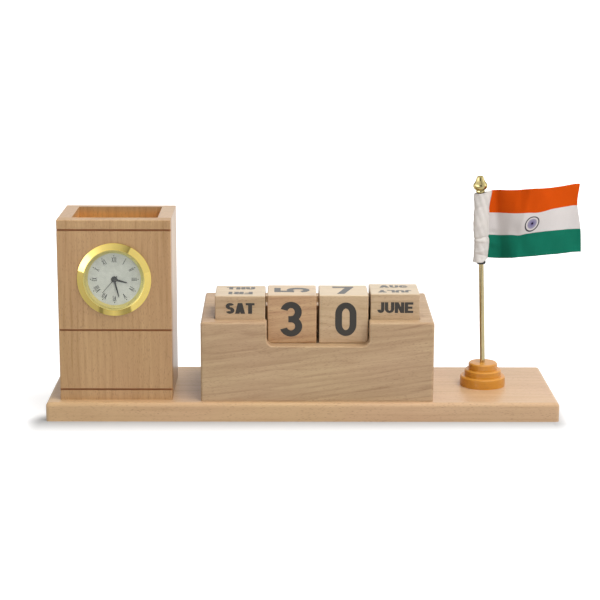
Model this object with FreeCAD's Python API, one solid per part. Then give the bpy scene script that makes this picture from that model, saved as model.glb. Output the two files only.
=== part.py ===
"""Beech desk set: pen stand with a quartz clock, calendar cubes in a block, and a table flag.

X runs along the board, -Y is the front and +Z is up. The origin is the middle of the board's
underside. All sizes are millimetres.
"""
import FreeCAD
import Part

import math
import os

V = FreeCAD.Vector
X_AXIS = V(1, 0, 0)
Y_AXIS = V(0, 1, 0)
Z_AXIS = V(0, 0, 1)

# ---- clearances ------------------------------------------------------------------------------
RUNNING_FIT = 0.05        # radial play of an arbor in its bearing
PRESS_FIT = 0.01          # radial play of a piece that is pushed onto its arbor
SEAT_GAP = 0.1            # play between pieces that lie in each other's recess
SOFT_GAP = 0.3            # play between the cloth and what holds it
EXTRA = 1.0               # how far a cutting tool runs past the face that it cuts

# ---- base board ------------------------------------------------------------------------------
BOARD_THICKNESS = 11.7
BOARD_EDGE_RADIUS = 2.5
FRONT_MARGIN = 3.8        # board edge to the calendar block, at the front
BACK_MARGIN = 10.4        # board edge to the calendar block, at the back
LEFT_MARGIN = 8.35        # board edge to the pen stand
RIGHT_MARGIN = 28.35      # board edge to the flag base
STAND_TO_BLOCK = 17.55
BLOCK_TO_FLAG = 20.5

# ---- pen stand -------------------------------------------------------------------------------
CUP_WIDTH = 51.9
CUP_DEPTH = 40.1
STAND_SIDE = 8.3          # thickness of the side panels
STAND_FRONT = 9.7
STAND_BACK = 6.2
STAND_FLOOR = 8.0
STAND_HEIGHT = 111.3
STAND_FRONT_MARGIN = 7.5  # board edge to the pen stand, at the front
STAND_EDGE_RADIUS = 0.6
GROOVE_HEIGHTS = (6.6, 43.75, 105.35)
GROOVE_WIDTH = 1.25
GROOVE_DEPTH = 1.4
CLOCK_HEIGHT = 75.25      # clock centre above the board

# ---- calendar block and cubes ----------------------------------------------------------------
CUBE_EDGE = 30.0
CUBE_EDGE_RADIUS = 0.8
# name, how much wider and higher than CUBE_EDGE it came out, and the gap on its left side
CUBES = (
    ("day_cube", 0.6, -0.4, 0.4),
    ("digit_cube_left", -0.1, 0.0, 1.35),
    ("digit_cube_right", 0.0, 0.0, 1.6),
    ("month_cube", 0.0, 0.9, 1.3),
)
LAST_CUBE_GAP = 0.4
CUBE_FRONT_GAP = 0.3
CUBE_BACK_GAP = 2.9
BLOCK_END_WALL = 8.15
BLOCK_FRONT_WALL = 7.7
BLOCK_DIVIDER = 8.0
BLOCK_BACK_WALL = 9.8
SLOT_WIDTH = 16.0
SHELF_HEIGHT = 34.65      # the cubes' floor above the board
POCKET_DEPTH = 14.85      # at the front wall
BLOCK_TOP_SLOPE = math.radians(1.9)
BLOCK_EDGE_RADIUS = 1.6
NOTCH_CORNER_RADIUS = 4.0
NOTCH_EDGE_RADIUS = 1.0
NOTCH_OVERLAP = 0.4       # how far the notch runs past the two digit cubes, each side

# ---- flag ------------------------------------------------------------------------------------
# radius and height above the board of each turned step, from the lowest up
FLAG_STEPS = ((14.15, 6.2), (11.45, 10.3), (9.05, 14.5))
FLAG_STEP_EDGE = 0.7
POLE_LEAN = math.radians(2.2)
POLE_RADIUS = 1.5
POLE_SOCKET_DEPTH = 8.0
RING_HEIGHT = 66.0        # top of the stop ring above the flag base, along the pole
RING_RADIUS = 2.75
RING_LENGTH = 2.6
RING_EDGE_RADIUS = 0.78
SLEEVE_LENGTH = 41.7
SLEEVE_HALF_WIDTH = 5.3
SLEEVE_HALF_DEPTH = 2.5
CLOTH_HEIGHT = 41.8
CLOTH_REACH = 61.3        # pole axis to the fly edge
CLOTH_RISE = 2.0          # the cloth's lower edge above the sleeve's lower end
CLOTH_THICKNESS = 0.8
CLOTH_STEPS = 12          # spans of the curve through the wave
WAVE_DEPTH = 5.5
WAVE_LENGTH = 76.0
FINIAL_COLLAR_RADIUS = 2.5
FINIAL_NECK_RADIUS = 2.0
FINIAL_BULB_RADIUS = 4.4
FINIAL_HEIGHT = 10.7
FINIAL_SOCKET_DEPTH = 5.0
# the finial's outline: heights as shares of its height, radii as shares of the bulb's
FINIAL_COLLAR_TOP = 0.12
FINIAL_NECK_TOP = 0.18
FINIAL_CURVE = ((0.86, 0.28), (1.0, 0.42), (0.78, 0.66), (0.42, 0.86))

# ---- wood screws -----------------------------------------------------------------------------
SCREW_RADIUS = 1.75
SCREW_HEAD_RADIUS = 3.4
SCREW_HEAD_HEIGHT = 2.2
SCREW_SINK = 0.4          # head below the board's underside
SCREW_TIP = 2.5
SCREW_POINT = 0.3         # radius left at the very tip
LONG_SCREW = 26.0
SHORT_SCREW = 15.0
CROSS_WIDTH = 0.9
CROSS_DEPTH = 1.3
CROSS_REACH = 2.04        # half length of the cross in the head
BLOCK_SCREW_INSET = 18.0  # from the block's ends and its front and back
STAND_SCREW_SPACING = 28.0

# ---- clock insert ----------------------------------------------------------------------------
# Depths are measured from the front face of the pen stand, inwards.
BEZEL_FLANGE = 4.25       # how far the bezel reaches past the case
BEZEL_RIM = 1.0           # height of the bezel's outer edge
BEZEL_COVER = 0.35        # how far the bezel covers the crystal's edge
BEZEL_LIP = 0.7           # bezel in front of the crystal
BEZEL_LAND = 0.8          # narrow ring beside the opening
BEZEL_LAND_FALL = 0.3
CASE_WALL = 0.75
CASE_LEDGE = 0.9
CASE_LEDGE_DEPTH = 0.7
BAND_FRONT = 1.4
BAND_LENGTH = 7.0
BAND_WALL = 1.3
CASE_LIP = 0.8            # ring behind the grip band
CRYSTAL_THICKNESS = 1.0
INNER_RING_WIDTH = 1.75   # gold ring that shows between the bezel and the dial
DIAL_FRONT = 0.5
DIAL_THICKNESS = 0.4
DIAL_HOLE = 1.8
INNER_RING_LIP = 0.6
HAND_THICKNESS = 0.2
HAND_GAP = 0.25
CRYSTAL_GAP = 0.45
HOUR_HAND = (8.6, 1.5, 1.9)      # reach, blade width, hub radius
MINUTE_HAND = (11.7, 1.15, 1.5)
SECOND_HAND = (11.4, 0.4, 0.9)
SECOND_TAIL = 2.8
HAND_TAPER = 0.55         # width near the tip, as a share of the root's
TAIL_FLARE = 1.6
HOUR_ANGLE = 106.0        # clockwise from the top
MINUTE_ANGLE = 166.0
SECOND_ANGLE = 221.7

# wheel train: teeth and modules; a wheel and the pinion that it meets share a module
TOOTH_TIP = 0.16          # width at the tip, as a share of the pitch
TOOTH_ROOT = 0.44
ADDENDUM = 0.85           # in modules
DEDENDUM = 1.15
SECOND_WHEEL_TEETH = 40
SECOND_PINION_TEETH = 8
INTERMEDIATE_WHEEL_TEETH = 48
INTERMEDIATE_PINION_TEETH = 8
ROTOR_PINION_TEETH = 8
THIRD_WHEEL_TEETH = 64
THIRD_PINION_TEETH = 8
CENTRE_WHEEL_TEETH = 60
CANNON_PINION_TEETH = 12
MINUTE_WHEEL_TEETH = 36
MINUTE_PINION_TEETH = 10
HOUR_WHEEL_TEETH = 40
SETTING_PINION_TEETH = 10
ROTOR_MODULE = 0.18
INTERMEDIATE_MODULE = 0.22
THIRD_MODULE = 0.14
MOTION_MODULE = 0.22
THIRD_DIRECTION = 150.0   # where each arbor lies, in degrees seen from the front
INTERMEDIATE_DIRECTION = 20.0
ROTOR_DIRECTION = 60.0    # from the intermediate arbor
MINUTE_DIRECTION = -60.0
SETTING_DIRECTION = -10.0  # from the minute wheel's post

# radii of the nested pipes and of the arbors
SECOND_ARBOR = 0.3
PIPE_WALL = 0.25
CANNON_WALL = 0.3
HOUR_PIPE_WALL = 0.5
TRAIN_ARBOR = 0.25
ROTOR_ARBOR = 0.2
SETTING_SHAFT = 0.6
MINUTE_POST = 0.4

# depths of the layers behind the dial
WHEEL_THICKNESS = 0.5
MOTION_THICKNESS = 0.6    # wheels in front of the plate
LEAF_OVERHANG = 0.1       # pinion leaves past the wheel that they meet, each side
LAYER_GAP = 0.3
HOUR_WHEEL_FRONT = 1.4
PLATE_THICKNESS = 1.0
BRIDGE_THICKNESS = 0.7
CASE_DEPTH = 11.6         # front of the case back
BACK_THICKNESS = 1.0

# battery, coil and electronics
CELL_RADIUS = 5.8
CELL_THICKNESS = 5.4
CELL_CAP_HEIGHT = 0.4
CELL_RIM = 0.8            # can around the cap
CELL_TO_WHEEL = 0.213     # cell beside the second wheel's teeth
CELL_PLAY = 0.15
CELL_RISE = 1.3           # cell above the main plate
CRADLE_WALL = 0.75
CRADLE_HEIGHT = 5.5
CRADLE_SEAT = 1.4         # how far the seat reaches under the cell
HATCH_MARGIN = 0.2        # hatch past the cell
HATCH_TAB = 0.8           # how far the tabs reach past the hatch
HATCH_TAB_HALF_ANGLE = 12.0
HATCH_TAB_PLAY = 2.0      # degrees, each side
HATCH_TURN = 50.0
HATCH_SLOT = (7.0, 1.2, 0.5)     # length, width, depth
STATOR_THICKNESS = 0.8
STATOR_BAR = 1.2
STATOR_RISE = 0.7
ROTOR_MAGNET = 1.3
ROTOR_GAP = 0.3
MAGNET_OVERHANG = 0.1     # magnet past the stator, each side
POLE_PIECE_WALL = 1.4
STATOR_ELBOW = 1.5        # from the magnet to the bend of the long link
COIL_HEIGHT = 12.0        # coil axis above the clock's centre
COIL_RADIUS = 1.9
COIL_ENDS = (-5.2, 4.6)
CORE_ENDS = (-7.6, 8.6)
CORE_SECTION = (1.2, 0.9)
CORE_FOOT_INSET = 0.5
CIRCUIT_CORNER = (-12.6, -9.3)
CIRCUIT_SIZE = (5.6, 6.6, 0.6)
CHIP_RADIUS = 1.4
CHIP_HEIGHT = 0.7
CHIP_INSET = (0.4, 0.5)
QUARTZ_RADIUS = 0.75
QUARTZ_LENGTH = 5.0
QUARTZ_INSET = (0.2, 0.8)
STRIP = 0.2               # contact strip thickness
CONTACT_INSET = 3.6       # from the circuit board's corner to the contacts' feet
PLUS_WIDTH = 0.8
PLUS_DROP = 2.2           # how far the plus tab reaches below its foot
PLUS_SHORT = 1.5          # plus tab short of the cell's back
MINUS_OFFSET = 1.3        # from the board's lower edge
MINUS_WIDTH = 1.0
MINUS_FOOT = 1.4
MINUS_REACH = 0.5         # past the cell's middle
CONTACT_ROOM = 0.4        # cradle's cut around the contacts
CONTACT_ROOM_END = 1.0    # cut short of the cell's middle
KNOB_RADIUS = 2.4
KNOB_LENGTH = 1.4
KNOB_TEETH = 24

# ---- places worked out from the sizes --------------------------------------------------------
POCKET_LENGTH = sum(CUBE_EDGE + wider + gap for _, wider, _, gap in CUBES) + LAST_CUBE_GAP
BLOCK_LENGTH = POCKET_LENGTH + 2 * BLOCK_END_WALL
POCKET_WIDTH = CUBE_FRONT_GAP + CUBE_EDGE + CUBE_BACK_GAP
BLOCK_DEPTH = BLOCK_FRONT_WALL + POCKET_WIDTH + BLOCK_DIVIDER + SLOT_WIDTH + BLOCK_BACK_WALL
STAND_WIDTH = CUP_WIDTH + 2 * STAND_SIDE
FLAG_RADIUS = FLAG_STEPS[0][0]
BOARD_LENGTH = (
    LEFT_MARGIN + STAND_WIDTH + STAND_TO_BLOCK + BLOCK_LENGTH
    + BLOCK_TO_FLAG + 2 * FLAG_RADIUS + RIGHT_MARGIN
)
BOARD_DEPTH = FRONT_MARGIN + BLOCK_DEPTH + BACK_MARGIN

BOARD_FRONT = -BOARD_DEPTH / 2
STAND_LEFT = -BOARD_LENGTH / 2 + LEFT_MARGIN
STAND_RIGHT = STAND_LEFT + STAND_WIDTH
STAND_X = (STAND_LEFT + STAND_RIGHT) / 2
STAND_Y = BOARD_FRONT + STAND_FRONT_MARGIN
CUP_LEFT = STAND_LEFT + STAND_SIDE
CUP_RIGHT = STAND_RIGHT - STAND_SIDE
CUP_FRONT = STAND_Y + STAND_FRONT
CUP_BACK = CUP_FRONT + CUP_DEPTH
STAND_TOP = BOARD_THICKNESS + STAND_HEIGHT
BLOCK_LEFT = STAND_RIGHT + STAND_TO_BLOCK
BLOCK_RIGHT = BLOCK_LEFT + BLOCK_LENGTH
BLOCK_Y = BOARD_FRONT + FRONT_MARGIN
BLOCK_BACK = BLOCK_Y + BLOCK_DEPTH
POCKET_LEFT = BLOCK_LEFT + BLOCK_END_WALL
POCKET_FRONT = BLOCK_Y + BLOCK_FRONT_WALL
SHELF_Z = BOARD_THICKNESS + SHELF_HEIGHT
BLOCK_FRONT_TOP = SHELF_Z + POCKET_DEPTH
BLOCK_BACK_TOP = BLOCK_FRONT_TOP + BLOCK_DEPTH * math.tan(BLOCK_TOP_SLOPE)
SLOT_FRONT = POCKET_FRONT + POCKET_WIDTH + BLOCK_DIVIDER
FLAG_X = BLOCK_RIGHT + BLOCK_TO_FLAG + FLAG_RADIUS
FLAG_TOP = BOARD_THICKNESS + FLAG_STEPS[-1][1]
CLOCK_Z = BOARD_THICKNESS + CLOCK_HEIGHT

# depths inside the clock, from the front face of the pen stand
HOUR_HAND_FRONT = DIAL_FRONT - HAND_GAP - HAND_THICKNESS
MINUTE_HAND_FRONT = HOUR_HAND_FRONT - HAND_GAP - HAND_THICKNESS
SECOND_HAND_FRONT = MINUTE_HAND_FRONT - HAND_GAP - HAND_THICKNESS
CRYSTAL_BACK = SECOND_HAND_FRONT - CRYSTAL_GAP
CRYSTAL_FRONT = CRYSTAL_BACK - CRYSTAL_THICKNESS
BEZEL_FRONT = CRYSTAL_FRONT - BEZEL_LIP
CASE_FRONT = CRYSTAL_BACK + INNER_RING_LIP
DIAL_BACK = DIAL_FRONT + DIAL_THICKNESS
MINUTE_WHEEL_FRONT = HOUR_WHEEL_FRONT + MOTION_THICKNESS + LAYER_GAP
PLATE_FRONT = MINUTE_WHEEL_FRONT + MOTION_THICKNESS + LAYER_GAP + LEAF_OVERHANG
PLATE_BACK = PLATE_FRONT + PLATE_THICKNESS
CENTRE_WHEEL_FRONT = PLATE_BACK + LAYER_GAP
THIRD_WHEEL_FRONT = CENTRE_WHEEL_FRONT + WHEEL_THICKNESS + LAYER_GAP + LEAF_OVERHANG
LAYER_PITCH = WHEEL_THICKNESS + LAYER_GAP + 2 * LEAF_OVERHANG
SECOND_WHEEL_FRONT = THIRD_WHEEL_FRONT + LAYER_PITCH
INTERMEDIATE_WHEEL_FRONT = SECOND_WHEEL_FRONT + LAYER_PITCH
BRIDGE_FRONT = INTERMEDIATE_WHEEL_FRONT + LAYER_PITCH
BRIDGE_BACK = BRIDGE_FRONT + BRIDGE_THICKNESS
BACK_FACE = CASE_DEPTH + BACK_THICKNESS
CELL_FRONT = PLATE_BACK + CELL_RISE
CELL_BACK = CELL_FRONT + CELL_THICKNESS

# the case goes round whatever reaches furthest: the cell's cradle, or a corner inside its ledge
SECOND_WHEEL_TIP = INTERMEDIATE_MODULE * (SECOND_WHEEL_TEETH / 2 + ADDENDUM)
CELL_CENTRE = (0.0, -SECOND_WHEEL_TIP - CELL_TO_WHEEL - CELL_RADIUS)
CELL_BORE = CELL_RADIUS + CELL_PLAY
HATCH_RADIUS = CELL_RADIUS + HATCH_MARGIN
CRADLE_REACH = CELL_BORE + CRADLE_WALL - CELL_CENTRE[1]
CIRCUIT_REACH = math.hypot(CIRCUIT_CORNER[0], CIRCUIT_CORNER[1]) + CASE_LEDGE
CORE_REACH = math.hypot(CORE_ENDS[1], COIL_HEIGHT + CORE_SECTION[0] / 2) + CASE_LEDGE
CASE_BORE = max(CRADLE_REACH, CIRCUIT_REACH, CORE_REACH) + RUNNING_FIT
CASE_RADIUS = CASE_BORE + CASE_WALL
DIAL_RADIUS = CASE_BORE - SEAT_GAP
BAND_RADIUS = CASE_RADIUS + RUNNING_FIT + BAND_WALL
CLOCK_HOLE = BAND_RADIUS + RUNNING_FIT
BEZEL_RADIUS = CASE_RADIUS + BEZEL_FLANGE
BEZEL_OPENING = CASE_RADIUS - BEZEL_COVER
DIAL_OPENING = BEZEL_OPENING - INNER_RING_WIDTH

# radii of the pipes about the centre, from the inside out
CENTRE_BORE = SECOND_ARBOR + RUNNING_FIT
CENTRE_TUBE = CENTRE_BORE + PIPE_WALL
CANNON_BORE = CENTRE_TUBE + RUNNING_FIT
CANNON_PIPE = CANNON_BORE + CANNON_WALL
HOUR_BORE = CANNON_PIPE + RUNNING_FIT
HOUR_PIPE = HOUR_BORE + HOUR_PIPE_WALL


def centre_distance(teeth_a, teeth_b, module):
    return module * (teeth_a + teeth_b) / 2


def step(start, direction, distance):
    """The point at a distance from start, in a direction given in degrees."""
    angle = math.radians(direction)
    return (start[0] + distance * math.cos(angle), start[1] + distance * math.sin(angle))


CENTRE = (0.0, 0.0)
THIRD_DISTANCE = centre_distance(SECOND_PINION_TEETH, THIRD_WHEEL_TEETH, THIRD_MODULE)
CENTRE_MODULE = 2 * THIRD_DISTANCE / (THIRD_PINION_TEETH + CENTRE_WHEEL_TEETH)
THIRD = step(CENTRE, THIRD_DIRECTION, THIRD_DISTANCE)
INTERMEDIATE = step(
    CENTRE, INTERMEDIATE_DIRECTION,
    centre_distance(INTERMEDIATE_PINION_TEETH, SECOND_WHEEL_TEETH, INTERMEDIATE_MODULE),
)
ROTOR = step(
    INTERMEDIATE, ROTOR_DIRECTION,
    centre_distance(ROTOR_PINION_TEETH, INTERMEDIATE_WHEEL_TEETH, ROTOR_MODULE),
)
MOTION_DISTANCE = centre_distance(CANNON_PINION_TEETH, MINUTE_WHEEL_TEETH, MOTION_MODULE)
HOUR_MODULE = 2 * MOTION_DISTANCE / (MINUTE_PINION_TEETH + HOUR_WHEEL_TEETH)
MINUTE = step(CENTRE, MINUTE_DIRECTION, MOTION_DISTANCE)
SETTING = step(
    MINUTE, SETTING_DIRECTION,
    centre_distance(SETTING_PINION_TEETH, MINUTE_WHEEL_TEETH, MOTION_MODULE),
)
PILLARS = ((-10.5, 6.5), (10.8, -1.2), (1.2, 7.4), (-5.2, -3.9))
PILLAR_RADIUS = 1.0
PILLAR_SCREW = 0.4
DIAL_FOOT_RADIUS = 1.0
DIAL_FOOT_CIRCLE = 13.6
DIAL_FOOT_ANGLES = (100.0, 215.0, 340.0)
POST_STANDOUT = 0.2       # minute wheel's post in front of the hour wheel
WHEEL_ROOM = 0.6          # cradle's cut around the second wheel
BRIDGE_MARGIN = 0.2       # bridge arm past a pillar, each side
BRIDGE_SCREW_REACH = 2.6
BRIDGE_SCREW_HEAD = 0.5
BRIDGE_SLOT_WIDTH = 0.24
BRIDGE_SLOT_DEPTH = 0.2
PILLAR_BORE_SPARE = 0.4

NODES = []


def save(node, shape):
    shape.exportStep("parts/" + node + ".step")
    NODES.append(node)


def box(x0, x1, y0, y1, z0, z1):
    return Part.makeBox(x1 - x0, y1 - y0, z1 - z0, V(x0, y0, z0))


def edges_where(shape, test):
    return [edge for edge in shape.Edges if test(edge.BoundBox)]


def turned(profile):
    """Solid of revolution about Z from (radius, z) points."""
    points = [V(radius, 0, z) for radius, z in profile]
    face = Part.Face(Part.makePolygon(points + points[:1]))
    return face.revolve(V(0, 0, 0), Z_AXIS, 360)


def extruded(points, z0, z1):
    """Prism along Z from (x, y) points."""
    corners = [V(x, y, z0) for x, y in points]
    return Part.Face(Part.makePolygon(corners + corners[:1])).extrude(V(0, 0, z1 - z0))


# ---- board, pen stand and screws -------------------------------------------------------------
def screw(length, head_up=0.0):
    """Countersunk screw that points up from z = 0, larger all round by head_up for its hole."""
    shank = SCREW_RADIUS + head_up
    head = SCREW_HEAD_RADIUS + head_up
    profile = [
        (0, 0), (head, 0), (shank, SCREW_HEAD_HEIGHT), (shank, length - SCREW_TIP),
        (SCREW_POINT, length), (0, length),
    ]
    return turned(profile)


def cross_slot():
    wide = CROSS_WIDTH / 2
    across = box(-CROSS_REACH, CROSS_REACH, -wide, wide, -EXTRA, CROSS_DEPTH)
    return across.fuse(box(-wide, wide, -CROSS_REACH, CROSS_REACH, -EXTRA, CROSS_DEPTH))


BLOCK_SCREWS = [
    (x, y)
    for x in (BLOCK_LEFT + BLOCK_SCREW_INSET, BLOCK_RIGHT - BLOCK_SCREW_INSET)
    for y in (BLOCK_Y + BLOCK_SCREW_INSET, BLOCK_BACK - BLOCK_SCREW_INSET)
]
STAND_SCREWS = [
    (STAND_X + side * STAND_SCREW_SPACING / 2, (CUP_FRONT + CUP_BACK) / 2) for side in (-1, 1)
]
FLAG_SCREWS = [(FLAG_X, 0.0)]


def placed_screws(places, length):
    one = screw(length).cut(cross_slot())
    return [one.translated(V(x, y, SCREW_SINK)) for x, y in places]


def screw_holes(places, length):
    """Clearance holes for the screws, open at the underside."""
    tool = screw(length + SEAT_GAP, SEAT_GAP)
    mouth = Part.makeCylinder(SCREW_HEAD_RADIUS + SEAT_GAP, SCREW_SINK + EXTRA, V(0, 0, -EXTRA))
    tool = tool.translated(V(0, 0, SCREW_SINK)).fuse(mouth)
    return [tool.translated(V(x, y, 0)) for x, y in places]


LONG_HOLES = screw_holes(BLOCK_SCREWS, LONG_SCREW)
STAND_HOLES = screw_holes(STAND_SCREWS, SHORT_SCREW)
FLAG_HOLES = screw_holes(FLAG_SCREWS, SHORT_SCREW)


def base_board():
    half = BOARD_LENGTH / 2
    board = box(-half, half, BOARD_FRONT, -BOARD_FRONT, 0, BOARD_THICKNESS)
    rounded = edges_where(board, lambda b: b.ZMax > BOARD_THICKNESS / 2)
    board = board.makeFillet(BOARD_EDGE_RADIUS, rounded)
    return board.cut(LONG_HOLES + STAND_HOLES + FLAG_HOLES)


def stand_panel(x0, x1, y0, y1, z0=BOARD_THICKNESS, z1=STAND_TOP):
    return box(x0, x1, y0, y1, z0, z1)


def pen_stand_front():
    panel = stand_panel(STAND_LEFT, STAND_RIGHT, STAND_Y, CUP_FRONT)
    front_edges = edges_where(panel, lambda b: b.YMax < STAND_Y + STAND_FRONT / 2)
    seen_edges = [edge for edge in front_edges if edge.BoundBox.ZMax > BOARD_THICKNESS + EXTRA]
    panel = panel.makeFillet(STAND_EDGE_RADIUS, seen_edges)
    grooves = []
    for height in GROOVE_HEIGHTS:
        z = BOARD_THICKNESS + height
        grooves.append(box(
            STAND_LEFT - EXTRA, STAND_RIGHT + EXTRA, STAND_Y - EXTRA, STAND_Y + GROOVE_DEPTH,
            z - GROOVE_WIDTH / 2, z + GROOVE_WIDTH / 2,
        ))
    hole = Part.makeCylinder(
        CLOCK_HOLE, STAND_FRONT + 2 * EXTRA, V(STAND_X, STAND_Y - EXTRA, CLOCK_Z), Y_AXIS
    )
    return panel.cut(grooves + [hole])


def pen_stand_back():
    panel = stand_panel(STAND_LEFT, STAND_RIGHT, CUP_BACK, CUP_BACK + STAND_BACK)
    middle = CUP_BACK + STAND_BACK / 2
    seen_edges = edges_where(panel, lambda b: b.YMin > middle and b.ZMax > BOARD_THICKNESS + EXTRA)
    return panel.makeFillet(STAND_EDGE_RADIUS, seen_edges)


def pen_stand_floor():
    floor = stand_panel(
        CUP_LEFT, CUP_RIGHT, CUP_FRONT, CUP_BACK, BOARD_THICKNESS, BOARD_THICKNESS + STAND_FLOOR
    )
    return floor.cut(STAND_HOLES)


# ---- calendar block and cubes ----------------------------------------------------------------
def cube_places():
    """Name, left side, width and height of each cube."""
    places = []
    x = POCKET_LEFT
    for name, wider, higher, gap in CUBES:
        x += gap
        width = CUBE_EDGE + wider
        places.append((name, x, width, CUBE_EDGE + higher))
        x += width
    return places


def calendar_block():
    side = [
        V(BLOCK_LEFT, BLOCK_Y, BOARD_THICKNESS), V(BLOCK_LEFT, BLOCK_BACK, BOARD_THICKNESS),
        V(BLOCK_LEFT, BLOCK_BACK, BLOCK_BACK_TOP), V(BLOCK_LEFT, BLOCK_Y, BLOCK_FRONT_TOP),
    ]
    block = Part.Face(Part.makePolygon(side + side[:1])).extrude(V(BLOCK_LENGTH, 0, 0))
    seen_edges = edges_where(block, lambda b: b.ZMax > BOARD_THICKNESS + EXTRA)
    block = block.makeFillet(BLOCK_EDGE_RADIUS, seen_edges)

    # finger notch in the front wall, across the two digit cubes
    digits = [place for place in cube_places() if place[0].startswith("digit")]
    notch_left = digits[0][1] - NOTCH_OVERLAP
    notch_right = digits[-1][1] + digits[-1][2] + NOTCH_OVERLAP
    top = BLOCK_BACK_TOP + EXTRA
    notch = box(notch_left, notch_right, BLOCK_Y - EXTRA, POCKET_FRONT + EXTRA, SHELF_Z, top)
    corners = edges_where(
        notch,
        lambda b: b.ZMax < SHELF_Z + EXTRA and b.YMax - b.YMin > BLOCK_FRONT_WALL / 2,
    )
    notch = notch.makeFillet(NOTCH_CORNER_RADIUS, corners)
    block = block.cut(notch)
    rim = edges_where(
        block,
        lambda b: b.YMax < BLOCK_Y + SEAT_GAP and b.ZMin > SHELF_Z - SEAT_GAP
        and b.XMin > notch_left - SEAT_GAP and b.XMax < notch_right + SEAT_GAP,
    )
    block = block.makeFillet(NOTCH_EDGE_RADIUS, rim)

    pocket_right = POCKET_LEFT + POCKET_LENGTH
    pocket = box(
        POCKET_LEFT, pocket_right, POCKET_FRONT, POCKET_FRONT + POCKET_WIDTH, SHELF_Z, top
    )
    slot = box(POCKET_LEFT, pocket_right, SLOT_FRONT, SLOT_FRONT + SLOT_WIDTH, SHELF_Z, top)
    return block.cut([pocket, slot] + LONG_HOLES)


def cube(x, width, height):
    y = POCKET_FRONT + CUBE_FRONT_GAP
    solid = box(x, x + width, y, y + CUBE_EDGE, SHELF_Z, SHELF_Z + height)
    return solid.makeFillet(CUBE_EDGE_RADIUS, solid.Edges)


# ---- flag ------------------------------------------------------------------------------------
# The pole's own frame: W runs up the leaning pole from the flag base's top, U to the fly.
POLE_FOOT = V(FLAG_X - POLE_SOCKET_DEPTH * math.sin(POLE_LEAN), 0, FLAG_TOP)


def on_pole(shape):
    """Moves a shape from the pole's frame to the set's frame."""
    moved = shape.copy()
    moved.rotate(V(0, 0, 0), Y_AXIS, -math.degrees(POLE_LEAN))
    moved.translate(POLE_FOOT)
    return moved


CLOTH_FOOT = RING_HEIGHT + SOFT_GAP
SLEEVE_TOP = CLOTH_FOOT + SLEEVE_LENGTH
FINIAL_FOOT = SLEEVE_TOP + SOFT_GAP


def flag_base():
    profile = [(0, 0)]
    z = 0.0
    for radius, top in FLAG_STEPS:
        profile += [(radius, z), (radius, top - FLAG_STEP_EDGE), (radius - FLAG_STEP_EDGE, top)]
        z = top
    profile.append((0, z))
    base = turned(profile).translated(V(FLAG_X, 0, BOARD_THICKNESS))
    socket = on_pole(Part.makeCylinder(
        POLE_RADIUS + RUNNING_FIT, POLE_SOCKET_DEPTH + EXTRA, V(0, 0, -POLE_SOCKET_DEPTH)
    ))
    return base.cut([socket] + FLAG_HOLES)


def flag_pole():
    top = FINIAL_FOOT + FINIAL_SOCKET_DEPTH - SEAT_GAP
    foot = SEAT_GAP - POLE_SOCKET_DEPTH
    return on_pole(Part.makeCylinder(POLE_RADIUS, top - foot, V(0, 0, foot)))


def stop_ring():
    ring = Part.makeCylinder(RING_RADIUS, RING_LENGTH, V(0, 0, RING_HEIGHT - RING_LENGTH))
    ring = ring.makeFillet(RING_EDGE_RADIUS, edges_where(ring, lambda b: b.ZLength < SEAT_GAP))
    bore = Part.makeCylinder(POLE_RADIUS + PRESS_FIT, RING_HEIGHT)
    return on_pole(ring.cut(bore))


def finial():
    """Pear-shaped knob: a collar, a neck, and one smooth curve from the neck to the tip."""
    collar_top = FINIAL_HEIGHT * FINIAL_COLLAR_TOP
    neck = FINIAL_HEIGHT * FINIAL_NECK_TOP
    bulb = [
        V(FINIAL_BULB_RADIUS * radius, 0, FINIAL_HEIGHT * height) for radius, height in FINIAL_CURVE
    ]
    curve = Part.BSplineCurve()
    curve.interpolate([V(FINIAL_NECK_RADIUS, 0, neck)] + bulb + [V(0, 0, FINIAL_HEIGHT)])
    straight = Part.makePolygon([
        V(0, 0, FINIAL_HEIGHT), V(0, 0, 0), V(FINIAL_COLLAR_RADIUS, 0, 0),
        V(FINIAL_COLLAR_RADIUS, 0, collar_top), V(FINIAL_NECK_RADIUS, 0, neck),
    ])
    wire = Part.Wire(Part.__sortEdges__([curve.toShape()] + straight.Edges))
    knob = Part.Face(wire).revolve(V(0, 0, 0), Z_AXIS, 360)
    bore = Part.makeCylinder(POLE_RADIUS + PRESS_FIT, FINIAL_SOCKET_DEPTH + EXTRA, V(0, 0, -EXTRA))
    return on_pole(knob.cut(bore).translated(V(0, 0, FINIAL_FOOT)))


def wave(u):
    """How far the cloth stands behind the pole's plane at a reach u."""
    return -WAVE_DEPTH * math.sin(2 * math.pi * u / WAVE_LENGTH)


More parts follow.
